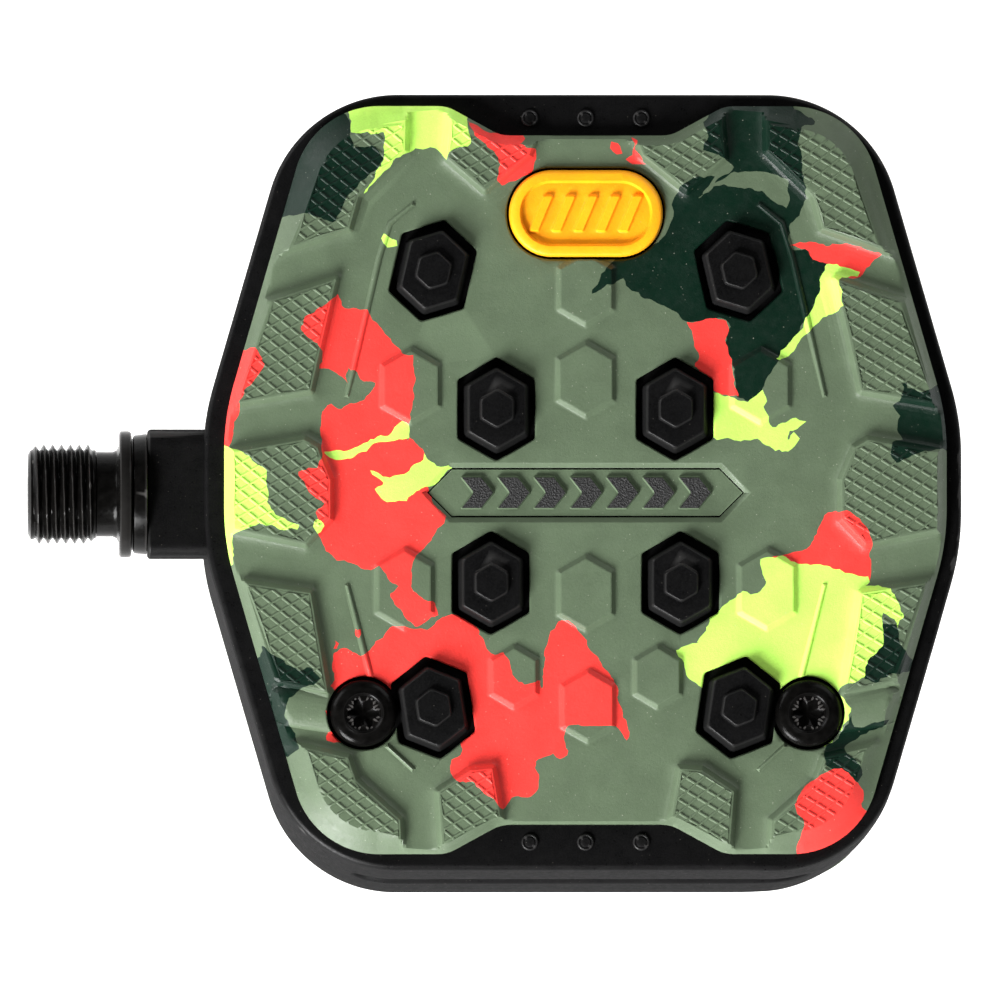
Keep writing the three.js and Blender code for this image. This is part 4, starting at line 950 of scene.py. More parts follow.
def tread_windows():
    """Openings of the pad: around the studs, the screws, the badge and the grip strip."""
    across, along = STUD_HOLE
    studs = [hexagon(across, along, x, y, lean, STUD_ROUND) for x, y, lean in STUDS]
    screws = [circle(x - PAD_X, y - PAD_Y, SCREW_WINDOW) for x, y in SCREW_CENTRES]
    return studs, screws, [badge_outline(BADGE_GAP)], [strip_outline(STRIP_GAP)]


def hatch_lines(outline, edge):
    """Creases of the raised diamond hatch on one lug, kept inside its sloped sides."""
    field = inset(outline, HATCH_MARGIN)
    centre = np.mean(field, axis=0)
    reach = float(np.max(np.hypot(*(np.array(field) - centre).T))) + 2
    lines = []
    for angle in HATCH_ANGLES:
        turn = math.radians(angle if centre[0] < 0 else -angle)
        along = np.array((math.cos(turn), math.sin(turn)))
        across = np.array((-along[1], along[0]))
        middle = float(centre @ across)
        first = math.floor((middle - reach) / HATCH_PITCH)
        last = math.ceil((middle + reach) / HATCH_PITCH)
        foot, crest = RIDGE_HALF
        for k in range(first, last + 1):
            for shift in (-foot, -crest, crest, foot):
                base = across * (k * HATCH_PITCH + shift) + along * float(centre @ along)
                lines += clipped(base - along * reach, base + along * reach, field, edge)
    return lines


def clipped(start, end, field, edge):
    """Stretches of a line that lie in the field of a lug and inside the pad's slope."""
    run = end - start
    cuts = {0.0, 1.0}
    for outline in (field, edge):
        a = np.array(outline, float)
        side = np.roll(a, -1, 0) - a
        cross = run[0] * side[:, 1] - run[1] * side[:, 0]
        ok = np.abs(cross) > 1e-9
        gap = a - start
        t = (gap[:, 0] * side[:, 1] - gap[:, 1] * side[:, 0])[ok] / cross[ok]
        s = (gap[:, 0] * run[1] - gap[:, 1] * run[0])[ok] / cross[ok]
        cuts |= set(t[(s >= 0) & (s <= 1) & (t > 0) & (t < 1)].tolist())
    cuts = sorted(cuts)
    kept = []
    for t0, t1 in zip(cuts, cuts[1:]):
        middle = [start + run * (t0 + t1) / 2]
        long_enough = (t1 - t0) * np.hypot(*run) > SHORTEST_RIDGE
        if long_enough and inside(middle, field)[0] and inside(middle, edge)[0]:
            kept.append([tuple(start + run * t0), tuple(start + run * t1)])
    return kept


def ridge(places, angle):
    """Height, from 0 to 1, of one family of hatch ridges."""
    turn = math.radians(angle)
    u = -math.sin(turn) * places[:, 0] + math.cos(turn) * places[:, 1]
    off = np.abs(u - np.round(u / HATCH_PITCH) * HATCH_PITCH)
    foot, crest = RIDGE_HALF
    return np.interp(off, (crest, foot), (1, 0))


def hatch(places):
    """Height, from 0 to 1, of the hatch, which is mirrored in the middle of the pad."""
    return np.maximum(*[np.where(places[:, 0] < 0, ridge(places, angle), ridge(places, -angle))
                        for angle in HATCH_ANGLES])


def capsule_line(start, end, radius):
    """Outline of a bar with round ends."""
    a, b = np.array(start, float), np.array(end, float)
    along = math.atan2(*(b - a)[::-1])
    points = []
    for centre, turn in ((b, along - math.pi / 2), (a, along + math.pi / 2)):
        for k in range(13):
            angle = turn + math.pi * k / 12
            points.append((centre[0] + radius * math.cos(angle), centre[1] + radius * math.sin(angle)))
    return points


class Tread:
    """Outlines of the pad and the height of its upper face."""

    def __init__(self):
        self.edge = pad_outline()
        self.chamfer = chamfer_width(self.edge)
        self.studs, self.screws, self.badges, self.strips = tread_windows()
        self.windows = self.studs + self.screws + self.badges + self.strips
        self.lugs = [rounded([(x, y, LUG_ROUND) for x, y in foot], LUG_ROUND / 2)
                     for foot in both_sides(SIDE_LUGS) + both_sides(SMALL_LUGS)]
        hexes = CENTRE_HEXES + SIDE_HEXES + [(-x, y, w, h) for x, y, w, h in SIDE_HEXES]
        self.hexes = [hexagon(w, h, x, y, 0.0, HEX_ROUND) for x, y, w, h in hexes]
        self.ribs = RIBS + [[(-x, y) for x, y in line] for line in RIBS]
        self.bars = [BAR, tuple((-x, y) for x, y in BAR)]
        self.patches = [(colour, ragged(points, k * PATCH_SEED))
                        for k, (colour, points) in enumerate(PATCHES)]

    def inner_edge(self, share=1.0):
        return inset(self.edge, self.chamfer * share)

    def lines(self):
        """Every crease that the mesh has to follow, as (points, closed) pairs."""
        found = [(self.edge, True)]
        for level in EDGE_CREASES:
            found.append((self.inner_edge((level - EDGE_TOP) / (LUG_TOP - EDGE_TOP)), True))
        found += [(window, True) for window in self.windows]
        for window in self.studs + self.screws + self.badges:
            found += insets(window, [-d for d in HOLE_PROFILE[0][1:]])
        for window in self.strips:
            found += insets(window, [-d for d in TRENCH_PROFILE[0][1:]])
        field = self.inner_edge()
        for foot in self.lugs:
            found += insets(foot, LUG_PROFILE[0] + (HATCH_MARGIN,))
            found += [(line, False) for line in hatch_lines(foot, field)]
        for foot in self.hexes:
            found += insets(foot, HEX_PROFILE[0])
        for line in self.ribs:
            found += [(rib_outline(line, RIB_HALF - d), True) for d in RIB_PROFILE[0][:-1]]
            found.append((line, False))
        for start, end in self.bars:
            found += [(capsule_line(start, end, BAR_RADIUS * share), True) for share in BAR_SHARES]
        found += [(points, True) for _, points in self.patches]
        return found

    def covered(self, places):
        keep = inside(places, self.edge)
        for window in self.windows:
            keep &= ~inside(places, window)
        return keep

    def paint(self, places):
        names = list(RUBBERS)
        number = np.zeros(len(places), int)
        for colour, outline in self.patches:
            number[inside(places, outline)] = names.index(colour)
        return number

    def height(self, places):
        z = np.full(len(places), PAD_FLOOR)
        strength = np.zeros(len(places))
        for foot in self.lugs:
            depth = depth_in(places, foot)
            z = np.maximum(z, PAD_FLOOR + ramp(depth, LUG_PROFILE))
            strength = np.maximum(strength, np.clip((depth - LUG_PROFILE[0][-1]) / 0.2, 0, 1))
        for foot in self.hexes:
            z = np.maximum(z, PAD_FLOOR + ramp(depth_in(places, foot), HEX_PROFILE))
        for line in self.ribs:
            z = np.maximum(z, PAD_FLOOR + ramp(RIB_HALF - distance(places, line, False), RIB_PROFILE))
        for bar in self.bars:
            share = np.clip(distance(places, bar, False) / BAR_RADIUS, 0, 1)
            z = np.maximum(z, PAD_FLOOR + BAR_HEIGHT * np.sqrt(1 - share * share))
        z += RIDGE * strength * hatch(places)
        depth = distance(places, self.edge)
        slope = EDGE_TOP + (LUG_TOP - EDGE_TOP) * np.abs(depth) / chamfer_width(places)
        z = np.minimum(z, slope)
        for window in self.studs + self.screws + self.badges:
            z += ramp(-depth_in(places, window), HOLE_PROFILE)
        for window in self.strips:
            away = -depth_in(places, window)
            trench = PAD_FLOOR + ramp(away, TRENCH_PROFILE)
            z = np.minimum(z, np.where(away < TRENCH_PROFILE[0][-1], trench, z))
            z = np.maximum(z, PAD_FLOOR + TRENCH_PROFILE[1][0])
        return z


def offset_line(line, shift):
    """Open line moved sideways by `shift`."""
    p = np.array(line, float)
    run = np.diff(p, axis=0)
    run /= np.hypot(*run.T)[:, None]
    side = np.stack((-run[:, 1], run[:, 0]), 1)
    at = np.vstack([side[:1], (side[:-1] + side[1:]), side[-1:]])
    at[1:-1] *= (2 / (at[1:-1] ** 2).sum(1))[:, None]
    return [tuple(q) for q in p + at * shift]


def rib_outline(line, half):
    """Closed outline of a rib, `half` to each side of its middle line and past its ends."""
    p = np.array(line, float)
    first, last = p[0] - p[1], p[-1] - p[-2]
    p[0] += first / np.hypot(*first) * half
    p[-1] += last / np.hypot(*last) * half
    return offset_line(p, half) + offset_line(p, -half)[::-1]


def tread_mesh():
    tread = Tread()
    return relief("tread", tread.lines(), tread.covered, tread.height, PAD_BOTTOM, tread.paint)


# ---- badge and grip strip ---------------------------------------------------------------------


def badge_mesh():
    """Rubber badge with a raised border and slanted bars."""
    edge = badge_outline()
    centre = np.mean(edge, axis=0)
    border = inset(edge, BADGE_BORDER)
    bars = []
    for k in BADGE_BARS:
        x, y = centre + (k * BADGE_PITCH, 0)
        corners = [(x + end * BADGE_LEAN + side * BADGE_BAR_HALF, y + end * BADGE_REACH)
                   for end, side in ((-1, -1), (-1, 1), (1, 1), (1, -1))]
        bars.append(rounded([(u, v, BADGE_BAR_ROUND) for u, v in corners], BADGE_BAR_ROUND / 2))
    top = BADGE_HIGH[2]
    field = top - BADGE_SINK

    def height(places):
        z = top + ramp(distance(places, edge), BADGE_EDGE)
        z = np.minimum(z, np.interp(-depth_in(places, border), (-BADGE_WALL, 0), (field, top)))
        for bar in bars:
            z = np.maximum(z, field + ramp(depth_in(places, bar), BADGE_BAR))
        return z

    lines = insets(edge, BADGE_EDGE[0]) + insets(border, (0, BADGE_WALL))
    for bar in bars:
        lines += insets(bar, BADGE_BAR[0])
    return relief("badge", lines, lambda p: inside(p, edge), height, BADGE_LOW[2])


def strip_mesh():
    """Rubber strip with raised chevrons faced in grit, which have material number 1."""
    edge = strip_outline()
    centre = np.mean(edge, axis=0)
    base = STRIP_HIGH[2] - STRIP_RISE
    chevrons = []
    for k in range(CHEVRONS):
        x, y = centre + ((k - (CHEVRONS - 1) / 2) * CHEVRON_PITCH + CHEVRON_SHIFT, 0)
        corners = [(x + along, y + share * CHEVRON_REACH, CHEVRON_ROUND) for along, share in CHEVRON]
        chevrons.append(rounded(corners, CHEVRON_ROUND / 2))

    def height(places):
        z = np.interp(distance(places, edge), (0, STRIP_ROUND), (base - STRIP_ROUND, base))
        for chevron in chevrons:
            rise = np.interp(depth_in(places, chevron), (0, CHEVRON_SLOPE), (0, STRIP_RISE))
            z = np.maximum(z, base + rise)
        return z

    def paint(places):
        found = np.zeros(len(places), int)
        for chevron in chevrons:
            found[inside(places, inset(chevron, CHEVRON_GRIT))] = 1
        return found

    lines = insets(edge, (0, STRIP_ROUND))
    for chevron in chevrons:
        lines += insets(chevron, (0, CHEVRON_GRIT, CHEVRON_SLOPE))
    return relief("strip", lines, lambda p: inside(p, edge), height, STRIP_LOW[2], paint)


# ---- platform body ----------------------------------------------------------------------------


def platform_outline():
    upper = [(HALF_WIDTH, SIDE_FLAT, SIDE_ROUND), (CORNER_X, HALF_LENGTH, CORNER_ROUND),
             (-CORNER_X, HALF_LENGTH, CORNER_ROUND), (-HALF_WIDTH, SIDE_FLAT, SIDE_ROUND)]
    return resampled(turned_pair(upper), 2.0)


def level_slide(x, y, h):
    """Slide along Y of the plate's level `h`, eased at the outboard corners."""
    share = float(smooth(x, *CORNER_EASE)) * min(abs(y) / CORNER_EASE[0], 1.0) * min(abs(h) / PLATE_TOP, 1.0)
    ease = 0.0
    if y * h < 0:
        ease = math.copysign(CORNER_OUT, y)
    elif y < 0:
        ease = CORNER_IN
    return SHEAR * h + ease * share


def plate_mesh():
    """Flat plate with a sheared section, rounded rim and a groove along its straight edges."""
    outline = platform_outline()
    places = np.array(outline)
    straight = np.abs(places[:, 1]) > HALF_LENGTH - 1
    groove = np.clip((GROOVE_REACH + GROOVE_POINT - np.abs(places[:, 0])) / GROOVE_POINT, 0, 1) * straight
    levels = [(RIM_FLAT, PLATE_TOP), (RIM_ROUND, PLATE_TOP)]
    for k in range(1, RIM_STEPS + 1):
        a = math.pi / 2 * k / RIM_STEPS
        levels.append((RIM_ROUND * (1 - math.sin(a)), PLATE_TOP - RIM_ROUND * (1 - math.cos(a))))
    levels += [(depth * groove, z + rise * groove) for depth, z, rise in GROOVE_RINGS]
    levels += [(depth, -z) for depth, z in reversed(levels)]
    rings = []
    for depth, z in levels:
        ring = inset(outline, depth)
        z = np.broadcast_to(z, len(ring))
        rings.append([(CENTRE_X + x, y + level_slide(x, y, h), h) for (x, y), h in zip(ring, z)])
    return loft("plate", rings)


def boss_mesh():
    section = box_outline(0.0, 0.0, BOSS_HALF_WIDTH, BOSS_HALF_HEIGHT, BOSS_ROUND, 0.3)
    ends = [(BOSS_START + along, depth) for along, depth in BOSS_MOUTH] + [(BOSS_END, 0.0)]
    return loft("boss", [[(x, y, z) for y, z in inset(section, depth)] for x, depth in ends])


def stud_mesh(x, y, lean):
    rings = []
    for across, along, rise, slide in STUD_RINGS:
        outline = hexagon(across, along, PAD_X + x, PAD_Y + y + slide, lean, STUD_ROUND)
        rings.append([(u, v, PLATE_TOP + rise) for u, v in outline])
    return loft("stud", rings)


def pip_mesh(x, y):
    return lathed("pip", [(PLATE_TOP + rise, radius) for radius, rise in PIP_RINGS], 32, (x, y))


def post_mesh(x, y):
    foot = PLATE_TOP - POST_SINK
    profile = [(foot, 0.0), (foot, POST_RADIUS), (POST_TOP - POST_ROUND, POST_RADIUS),
               (POST_TOP, POST_RADIUS - POST_ROUND), (POST_TOP, 0.0)]
    return lathed("post", profile, 48, (x, y))


def tunnel_mesh():
    """Cutter for the stepped tunnel of the bush, the axle, the bearing and the end cap."""
    bush, (depth, flare) = BUSH_RADIUS + BORE_GAP, MOUTH_FLARE
    start, end = BOSS_START - CUT_PAST, BODY_HIGH[0] + CUT_PAST
    first, second = BUSH_END + SEAT_GAP, BEARING_START - SEAT_GAP
    return lathed("tunnel", [
        (start, 0.0), (start, bush + flare), (BOSS_START + depth, bush), (first, bush),
        (first, TUNNEL_RADIUS), (second, TUNNEL_RADIUS), (second, CAP_BORE), (end, CAP_BORE), (end, 0.0),
    ])


def screw_bores(radius, bottom, top):
    """Cutter for one upright bore at every pad screw of both faces."""
    profile = [(bottom, 0.0), (bottom, radius), (top, radius), (top, 0.0)]
    bores = [lathed("bore", profile, 32, tuple(centre)) for centre in SCREW_CENTRES]
    return joined("bores", bores + [turned_over(mesh) for mesh in bores])


def body_mesh():
    """One moulding: plate, boss, studs, pips and screw posts, with its bores cut out."""
    raised = [stud_mesh(*stud) for stud in STUDS]
    raised += [pip_mesh(PAD_X + x, PAD_Y + side * PIP_Y) for side in (1, -1) for x in PIPS]
    raised += [post_mesh(x, y) for x, y in SCREW_CENTRES]
    raised += [turned_over(mesh) for mesh in raised]
    whole = combined(gridded(plate_mesh()), [joined("raised", raised), boss_mesh()], "UNION")
    low, high = node_box("threaded_insert_inner_top")
    inserts = screw_bores((high - low)[0] / 2 + BORE_GAP, low[2] - INSERT_SINK, POST_TOP - INSERT_SINK)
    shanks = screw_bores(SHANK_BORE, low[2], POST_TOP + CUT_PAST)
    return combined(whole, [tunnel_mesh(), inserts, shanks], "DIFFERENCE")


# ---- axle, screws and cap ---------------------------------------------------------------------


def thread_rise(x, radius, turn):
    """Height of the right-handed thread over its root at a place on the axle."""
    if x >= THREAD_END or radius != THREAD_ROOT:
        return 0.0
    tooth = np.interp((x / THREAD_PITCH - turn / TAU) % 1.0, *THREAD_TOOTH)
    grow, end = THREAD_FADE
    fade = smooth(x, THREAD_TIP, THREAD_TIP + grow) * (1 - smooth(x, THREAD_END - end, THREAD_END))
    return float(tooth * fade) * (THREAD_CREST - THREAD_ROOT)


def axle_mesh():
    """Forged axle: thread, undercut, flange with a collar, journal, shaft and spigot."""
    reach = THREAD_END - THREAD_START
    thread = [(THREAD_START + reach * k / THREAD_ROWS, THREAD_ROOT) for k in range(THREAD_ROWS + 1)]
    section = TIP_SECTION + thread + NECK_SECTION + FLANGE_SECTION + COLLAR_SECTION + SHAFT_SECTION
    blank = lathed("axle_blank", section, AXLE_SIDES, swell=thread_rise)
    key = hex_key(THREAD_TIP - CUT_PAST, THREAD_TIP + SOCKET_DEPTH, AXLE_KEY)
    return combined(blank, [key], "DIFFERENCE")


def hex_key(start, end, across):
    """Hexagonal bar along the axle, `across` its flats."""
    ring = circle(0.0, 0.0, across / math.sqrt(3), 6)
    return loft("key", [[(x, y, z) for y, z in ring] for x in (start, end)])


def screw_mesh(x, y):
    """Button-head screw with a six-lobed drive."""
    r = SCREW_RADIUS
    tip, (run, point) = SCREW_TIP, SCREW_POINT
    profile = [(tip, 0.0), (tip, point), (tip + run, SCREW_SHANK), (SCREW_SEAT, SCREW_SHANK)]
    profile += [(SCREW_SEAT + rise, r - depth) for rise, depth in SCREW_FOOT]
    for k in range(1, SCREW_STEPS + 1):
        a = math.pi / 2 * k / SCREW_STEPS
        profile.append((SCREW_SIDE + (SCREW_SHOULDER - SCREW_SIDE) * math.sin(a),
                        SCREW_CROWN + (r - SCREW_CROWN) * math.cos(a)))
    profile += [(SCREW_HEAD_TOP - depth, radius) for depth, radius in SCREW_DISH]
    star = []
    for a in (TAU * k / STAR_POINTS for k in range(STAR_POINTS)):
        reach = STAR_REACH + STAR_WAVE * math.cos(STAR_LOBES * a)
        star.append((reach * math.cos(a), reach * math.sin(a)))
    drive = [[(x + u * scale, y + v * scale, height) for u, v in star] for scale, height in DRIVE_RINGS]
    return combined(lathed("screw_blank", profile, 96, (x, y)), [loft("drive", drive)], "DIFFERENCE")


def cap_mesh():
    """Press-in end cap with a ring groove and a hexagonal key recess."""
    key = hex_key(CAP_END - CAP_KEY_DEPTH, CAP_END + CUT_PAST, CAP_KEY)
    return combined(lathed("cap_blank", CAP_SECTION), [key], "DIFFERENCE")


# ---- materials --------------------------------------------------------------------------------


class Finish:
    """A procedural material in millimetre coordinates fixed to the piece."""

    def __init__(self, name):
        self.material = bpy.data.materials.new(name)
        self.material.use_nodes = True
        self.tree = self.material.node_tree
        self.shader = self.tree.nodes["Principled BSDF"]
        place = self.tree.nodes.new("ShaderNodeTexCoord")
        scale = self.tree.nodes.new("ShaderNodeVectorMath")
        scale.operation = "SCALE"
        scale.inputs["Scale"].default_value = 1 / MM
        self.tree.links.new(place.outputs["Object"], scale.inputs[0])
        self.place = scale.outputs[0]

    def put(self, value, socket):
        if isinstance(value, bpy.types.NodeSocket):
            self.tree.links.new(value, socket)
        else:
            socket.default_value = value

    def noise(self, scale, detail=4.0, rough=0.55, stretch=None):
        node = self.tree.nodes.new("ShaderNodeTexNoise")
        node.inputs["Scale"].default_value = scale
        node.inputs["Detail"].default_value = detail
        node.inputs["Roughness"].default_value = rough
        self.put(self.stretched(stretch) if stretch else self.place, node.inputs["Vector"])
        return node.outputs["Fac"]

    def stretched(self, stretch):
        node = self.tree.nodes.new("ShaderNodeVectorMath")
        node.operation = "MULTIPLY"
        self.put(self.place, node.inputs[0])
        self.put(stretch, node.inputs[1])
        return node.outputs[0]

    def cells(self, scale):
        node = self.tree.nodes.new("ShaderNodeTexVoronoi")
        node.inputs["Scale"].default_value = scale
        self.put(self.place, node.inputs["Vector"])
        return node.outputs["Distance"]

    def band(self, value, low, high, at_low=0.0, at_high=1.0):
        node = self.tree.nodes.new("ShaderNodeMapRange")
        for name, number in (("From Min", low), ("From Max", high), ("To Min", at_low), ("To Max", at_high)):
            node.inputs[name].default_value = number
        self.put(value, node.inputs["Value"])
        return node.outputs["Result"]

    def math(self, operation, a, b):
        node = self.tree.nodes.new("ShaderNodeMath")
        node.operation = operation
        self.put(a, node.inputs[0])
        self.put(b, node.inputs[1])
        return node.outputs[0]

    def mix(self, share, a, b):
        node = self.tree.nodes.new("ShaderNodeMix")
        node.data_type = "RGBA"
        self.put(share, node.inputs["Factor"])
        self.put(a, node.inputs[6])
        self.put(b, node.inputs[7])
        return node.outputs[2]

    def clouds(self, noise, low, high, a, b):
        """Mix of two colours by a noise, given as the arguments of `noise`."""
        return self.mix(self.band(self.noise(*noise), low, high), a, b)

    def rubbed_and_highlit(self, base, low, high, share, colour):
        """The base with a share of another colour on its convex edges, which stands partly for rubbed wear
        and partly for a painted highlight along the edges.
        """
        node = self.tree.nodes.new("ShaderNodeNewGeometry")
        edges = self.band(node.outputs["Pointiness"], low, high)
        return self.mix(self.math("MULTIPLY", edges, share), base, colour)

    def uneven(self, noise, low, high):
        """Number that wanders between `low` and `high` with a noise."""
        return self.band(self.noise(*noise), 0.3, 0.7, low, high)

    def upright(self, low, high):
        """Share by which a surface stands upright in the pedal's own frame."""
        place = self.tree.nodes.new("ShaderNodeTexCoord")
        part = self.tree.nodes.new("ShaderNodeSeparateXYZ")
        self.put(place.outputs["Normal"], part.inputs[0])
        flat = self.math("ABSOLUTE", part.outputs["Z"], 0.0)
        return self.band(flat, low, high, 1.0, 0.0)

    def bump(self, height, depth):
        node = self.tree.nodes.new("ShaderNodeBump")
        node.inputs["Strength"].default_value = 1.0
        node.inputs["Distance"].default_value = depth * MM
        self.put(height, node.inputs["Height"])
        old = self.shader.inputs["Normal"].links
        if old:
            self.put(old[0].from_socket, node.inputs["Normal"])
        self.put(node.outputs["Normal"], self.shader.inputs["Normal"])

    def set(self, values):
        for name, value in values.items():
            self.put(value, self.shader.inputs[name])
        return self.material


def shade(colour, factor):
    return (*[min(1.0, c * factor) for c in colour[:3]], 1.0)


def rubber(name, colour, dust=0.35):
    """Moulded rubber: cloudy colour, a dull bloom, fine pores, specks of pale dust, and convex edges painted
    lighter, partly as rubbed wear and partly as a painted highlight.
    """
    finish = Finish(name)
    clouds = finish.clouds((0.22, 5.0), 0.35, 0.65, shade(colour, 0.86), shade(colour, 1.12))
    fine = finish.clouds((3.1, 6.0, 0.7), 0.3, 0.7, shade(colour, 0.88), shade(colour, 1.1))
    # Convex edges painted lighter: partly rubbed wear, partly a painted highlight.
    rubbed_and_highlit = finish.rubbed_and_highlit(finish.mix(0.5, clouds, fine), 0.52, 0.62, 0.35, shade(colour, 1.7))
    specks = finish.band(finish.cells(1.15), 0.06, 0.12, 1.0, 0.0)
    patches = finish.band(finish.noise(0.6, 3.0), 0.46, 0.62)
    share = finish.math("MULTIPLY", finish.math("MULTIPLY", specks, patches), dust)
    finish.bump(finish.noise(2.4, 6.0, 0.7), 0.05)
    finish.bump(finish.noise(9.0, 3.0, 0.6), 0.012)
    return finish.set({
        "Base Color": finish.mix(share, rubbed_and_highlit, RUBBER_DUST),
        "Roughness": finish.uneven((0.9, 5.0), 0.32, 0.48),
        "Specular IOR Level": RUBBER_GLOSS,
    })


def composite(name):
    """Glass-filled nylon with a fine spark texture, convex edges painted lighter as rubbing and as a painted
    highlight, and duller walls.
    """
    finish = Finish(name)
    base = finish.clouds((0.35, 5.0), 0.35, 0.65, *COMPOSITE_CLOUDS)
    grain = finish.clouds((5.0, 5.0, 0.7), 0.42, 0.66, base, COMPOSITE_GRAIN)
    # Convex edges painted lighter: partly rubbed wear, partly a painted highlight.
    rubbed_and_highlit = finish.rubbed_and_highlit(grain, 0.52, 0.60, 0.6, COMPOSITE_RUB_AND_HIGHLIGHT)
    specks = finish.math("MULTIPLY", finish.band(finish.cells(0.9), 0.035, 0.07, 1.0, 0.0), 0.35)
    walls = finish.math("MULTIPLY", finish.upright(0.30, 0.62), 0.5)
    finish.bump(finish.noise(4.5, 5.0, 0.65), 0.03)
    finish.bump(finish.noise(14.0, 2.0, 0.6), 0.008)
    return finish.set({
        "Base Color": finish.mix(specks, rubbed_and_highlit, COMPOSITE_DUST),
        "Roughness": finish.math("ADD", finish.uneven((1.3, 5.0), 0.26, 0.40), walls),
        "Specular IOR Level": COMPOSITE_GLOSS,
    })


def grit(name):
    """Coarse black grit that sparkles a little."""
    finish = Finish(name)
    cells = finish.cells(3.6)
    finish.bump(cells, 0.12)
    finish.bump(finish.noise(7.0, 5.0, 0.7), 0.08)
    return finish.set({
        "Base Color": finish.mix(finish.band(cells, 0.05, 0.35), *GRIT_COLOURS),
        "Roughness": finish.uneven((4.0, 4.0), 0.45, 0.8),
    })


def metal(name, colour, roughness, grain, stretch):
    """Turned or drawn metal with streaks, smudges, fine scratches, and convex edges painted lighter, partly
    as rubbed wear and partly as a painted highlight.
    """
    finish = Finish(name)
    base = finish.clouds((1.6, 5.0, 0.6, stretch), 0.3, 0.7, shade(colour, 0.75), shade(colour, 1.2))
    smudges = finish.mix(finish.band(finish.noise(0.5, 4.0), 0.5, 0.7, 0.0, 0.35), base, shade(colour, 0.55))
    finish.bump(finish.noise(5.0, 4.0, 0.6, stretch), grain)
    return finish.set({
        # Convex edges painted lighter: partly rubbed wear, partly a painted highlight.
        "Base Color": finish.rubbed_and_highlit(smudges, 0.54, 0.66, 0.5, shade(colour, 2.2)),
        "Roughness": finish.uneven((1.1, 5.0), roughness * 0.8, roughness * 1.3),
        "Metallic": 1.0,
    })


def black_steel(name, roughness=0.18):
    """Black electrophoretic coat: a glossy dark film with faint orange peel, and convex edges painted
    lighter, partly as rubbed wear and partly as a painted highlight.
    """
    finish = Finish(name)
    base = finish.clouds((0.8, 5.0), 0.35, 0.65, *STEEL_CLOUDS)
    finish.bump(finish.noise(2.2, 4.0), 0.02)
    finish.bump(finish.noise(11.0, 3.0), 0.004)
    return finish.set({
        # Convex edges painted lighter: partly rubbed wear, partly a painted highlight.
        "Base Color": finish.rubbed_and_highlit(base, 0.53, 0.62, 0.6, STEEL_RUB_AND_HIGHLIGHT),
        "Roughness": finish.uneven((1.7, 5.0), roughness * 0.8, roughness * 1.4),
        "Specular IOR Level": STEEL_GLOSS,
        "Coat Weight": STEEL_COAT,
        "Coat Roughness": STEEL_COAT_ROUGHNESS,
    })


def polymer(name, colour, roughness):
    """Moulded engineering plastic with flow marks."""
    finish = Finish(name)
    base = finish.clouds((0.7, 5.0), 0.35, 0.65, shade(colour, 0.8), shade(colour, 1.12))
    marks = finish.band(finish.noise(6.0, 4.0), 0.4, 0.7, 0.0, 0.5)
    finish.bump(finish.noise(5.0, 5.0), 0.02)
    return finish.set({
        "Base Color": finish.mix(marks, base, shade(colour, 1.25)),
        "Roughness": finish.uneven((2.0, 4.0), roughness * 0.8, roughness * 1.2),
    })


def floor_material():
    finish = Finish("floor_paper")
    return finish.set({
        "Base Color": finish.clouds((0.02, 4.0), 0.3, 0.7, *FLOOR_CLOUDS),
        "Roughness": finish.uneven((0.5, 3.0), 0.75, 0.85),
        "Emission Color": (1.0, 1.0, 1.0, 1.0),
        "Emission Strength": FLOOR_GLOW,
    })


# ---- the pedal's pieces -----------------------------------------------------------------------


def add_body(looks):
    show("platform_moulding", body_mesh(), "platform", ["pedal_body"], [looks["composite"]], 38)


def show_both(name, mesh, node, materials, angle):
    """Shows a piece of the top face, and its copy on the bottom face."""
    for face, copy in (("bottom", turned_over(mesh)), ("top", mesh)):
        show(f"{name}_{face}", copy, "platform", [f"{node}_{face}"], materials, angle)


def add_treads(looks):
    show_both("tread", tread_mesh(), "tread_pad", [looks[name] for name in RUBBERS], 30)


def add_trim(looks):
    show_both("badge_moulding", badge_mesh(), "badge", [looks["badge"]], 30)
    show_both("grip_strip_moulding", strip_mesh(), "grip_strip", [looks["sage"], looks["grit"]], 30)


def add_screws(looks):
    for side, centre in zip(("inner", "outer"), SCREW_CENTRES):
        mesh = screw_mesh(*centre)
        show_both(f"screw_{side}", mesh, f"pad_screw_{side}", [looks["screw_steel"]], 32)


def add_axle(looks):
    show("axle_forging", axle_mesh(), "axle", ["axle"], [looks["black_steel"]], 35)
    show("cap_moulding", cap_mesh(), "platform", ["end_cap"], [looks["composite"]], 35)


def paint_frame(looks):
    """Gives the CAD nodes that stay in view their procedural finish."""
    finishes = {
        "lip_seal": "seal_rubber", "end_cap_o_ring": "seal_rubber", "axle_bush": "bearing_polymer",
        "bearing_cage": "nylon", "bearing_inner_race": "bright_steel", "bearing_outer_race": "bright_steel",
        "axle_washer": "bright_steel", "lock_nut": "bright_steel",
    }
    for name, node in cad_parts.items():
        look = finishes.get(name)
        if name.startswith("bearing_ball"):
            look = "bright_steel"
        if name.startswith("threaded_insert"):
            look = "brass"
        if look:
            node.data.materials.clear()
            node.data.materials.append(looks[look])


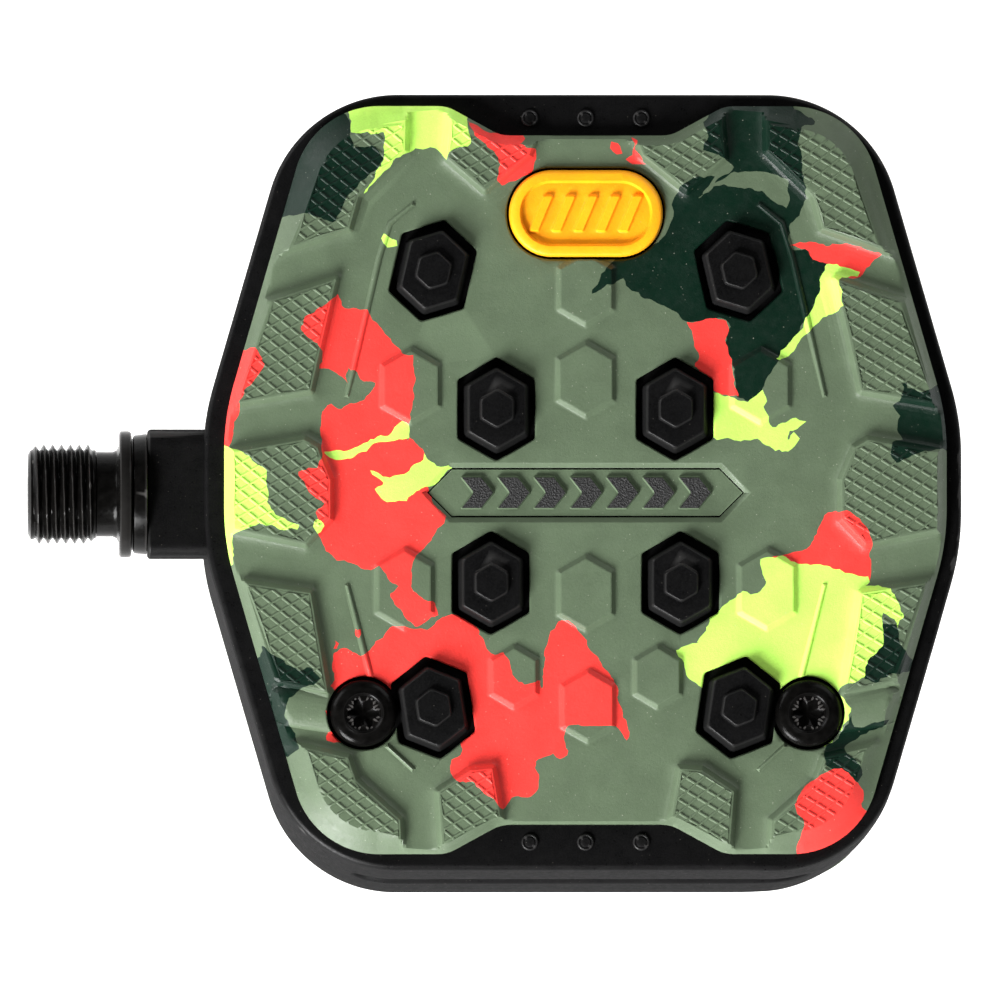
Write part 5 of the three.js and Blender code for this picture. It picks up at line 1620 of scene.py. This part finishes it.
def make_looks():
    looks = {name: rubber(f"rubber_{name}", colour) for name, colour in RUBBERS.items()}
    looks["badge"] = rubber("rubber_amber", (1.0, 0.36, 0.008), 0.12)
    looks["seal_rubber"] = rubber("rubber_seal", (0.006, 0.006, 0.0065), 0.1)
    looks["composite"] = composite("composite_black")
    looks["grit"] = grit("grit_black")
    looks["black_steel"] = black_steel("steel_coated")
    looks["screw_steel"] = black_steel("steel_oiled", 0.2)
    looks["bright_steel"] = metal("steel_bright", (0.56, 0.57, 0.58), 0.22, 0.004, (0.3, 2.0, 2.0))
    looks["brass"] = metal("brass_turned", (0.62, 0.44, 0.17), 0.3, 0.006, (1.0, 1.0, 4.0))
    looks["nylon"] = polymer("nylon_white", (0.68, 0.65, 0.54), 0.45)
    looks["bearing_polymer"] = polymer("polymer_olive", (0.25, 0.27, 0.045), 0.5)
    return looks


# ---- floor, light and camera ------------------------------------------------------------------


def add_floor():
    """Floor under the platform, low enough for it to spin."""
    z = -HALF_LENGTH - FLOOR_GAP
    corners = [(x * FLOOR_HALF, y * FLOOR_HALF, z) for x, y in ((-1, -1), (1, -1), (1, 1), (-1, 1))]
    mesh = make_mesh("floor", corners, [(0, 1, 2, 3)])
    mesh.materials.append(floor_material())
    floor = bpy.data.objects.new("floor", mesh)
    bpy.context.scene.collection.objects.link(floor)
    return floor


def add_panel(name, azimuth, elevation, away, size, power):
    """Soft square light that looks at the pedal from a compass angle and a height in degrees."""
    lamp = bpy.data.lights.new(name, "AREA")
    lamp.shape = "SQUARE"
    lamp.size = size * MM
    lamp.energy = power
    panel = bpy.data.objects.new(name, lamp)
    a, e = math.radians(azimuth), math.radians(elevation)
    ray = Vector((math.cos(a) * math.cos(e), math.sin(a) * math.cos(e), math.sin(e)))
    panel.location = (Vector(VIEW_CENTRE) + ray * away) * MM
    panel.rotation_euler = ray.to_track_quat("Z", "Y").to_euler()
    bpy.context.scene.collection.objects.link(panel)


def add_sky():
    """Even white surroundings that darken towards the zenith."""
    world = bpy.data.worlds.new("studio")
    bpy.context.scene.world = world
    world.use_nodes = True
    tree = world.node_tree
    place = tree.nodes.new("ShaderNodeTexCoord")
    part = tree.nodes.new("ShaderNodeSeparateXYZ")
    tree.links.new(place.outputs["Generated"], part.inputs[0])
    bands = tree.nodes.new("ShaderNodeValToRGB")
    stops = bands.color_ramp.elements
    for _ in SKY[1:-1]:
        stops.new(0.5)
    for stop, (position, grey) in zip(stops, SKY):
        stop.position, stop.color = position, (grey, grey, grey, 1)
    tree.links.new(part.outputs["Z"], bands.inputs["Fac"])
    background = tree.nodes["Background"]
    tree.links.new(bands.outputs["Color"], background.inputs["Color"])
    background.inputs["Strength"].default_value = SKY_STRENGTH


def add_camera():
    """Long lens that looks straight down on the top face, leaning a little to the crank side."""
    data = bpy.data.cameras.new("camera")
    data.sensor_width = SENSOR
    data.lens = SENSOR * VIEW_DISTANCE / VIEW_WIDTH
    data.clip_start, data.clip_end = VIEW_CLIP
    camera = bpy.data.objects.new("camera", data)
    lean = [math.tan(math.radians(angle)) for angle in (VIEW_LEAN_X, VIEW_LEAN_Y)]
    back = Vector((*lean, 1.0)).normalized()
    camera.location = (Vector(VIEW_CENTRE) + back * VIEW_DISTANCE) * MM
    right = Vector((0, 1, 0)).cross(back).normalized()
    up = back.cross(right)
    camera.rotation_euler = Matrix((right, up, back)).transposed().to_euler()
    bpy.context.scene.collection.objects.link(camera)
    bpy.context.scene.camera = camera


looks = make_looks()
add_body(looks)
add_treads(looks)
add_trim(looks)
add_screws(looks)
add_axle(looks)
paint_frame(looks)
add_floor()
add_sky()
for panel in PANELS:
    add_panel(*panel)
add_camera()
bpy.context.scene.view_settings.view_transform = "Standard"
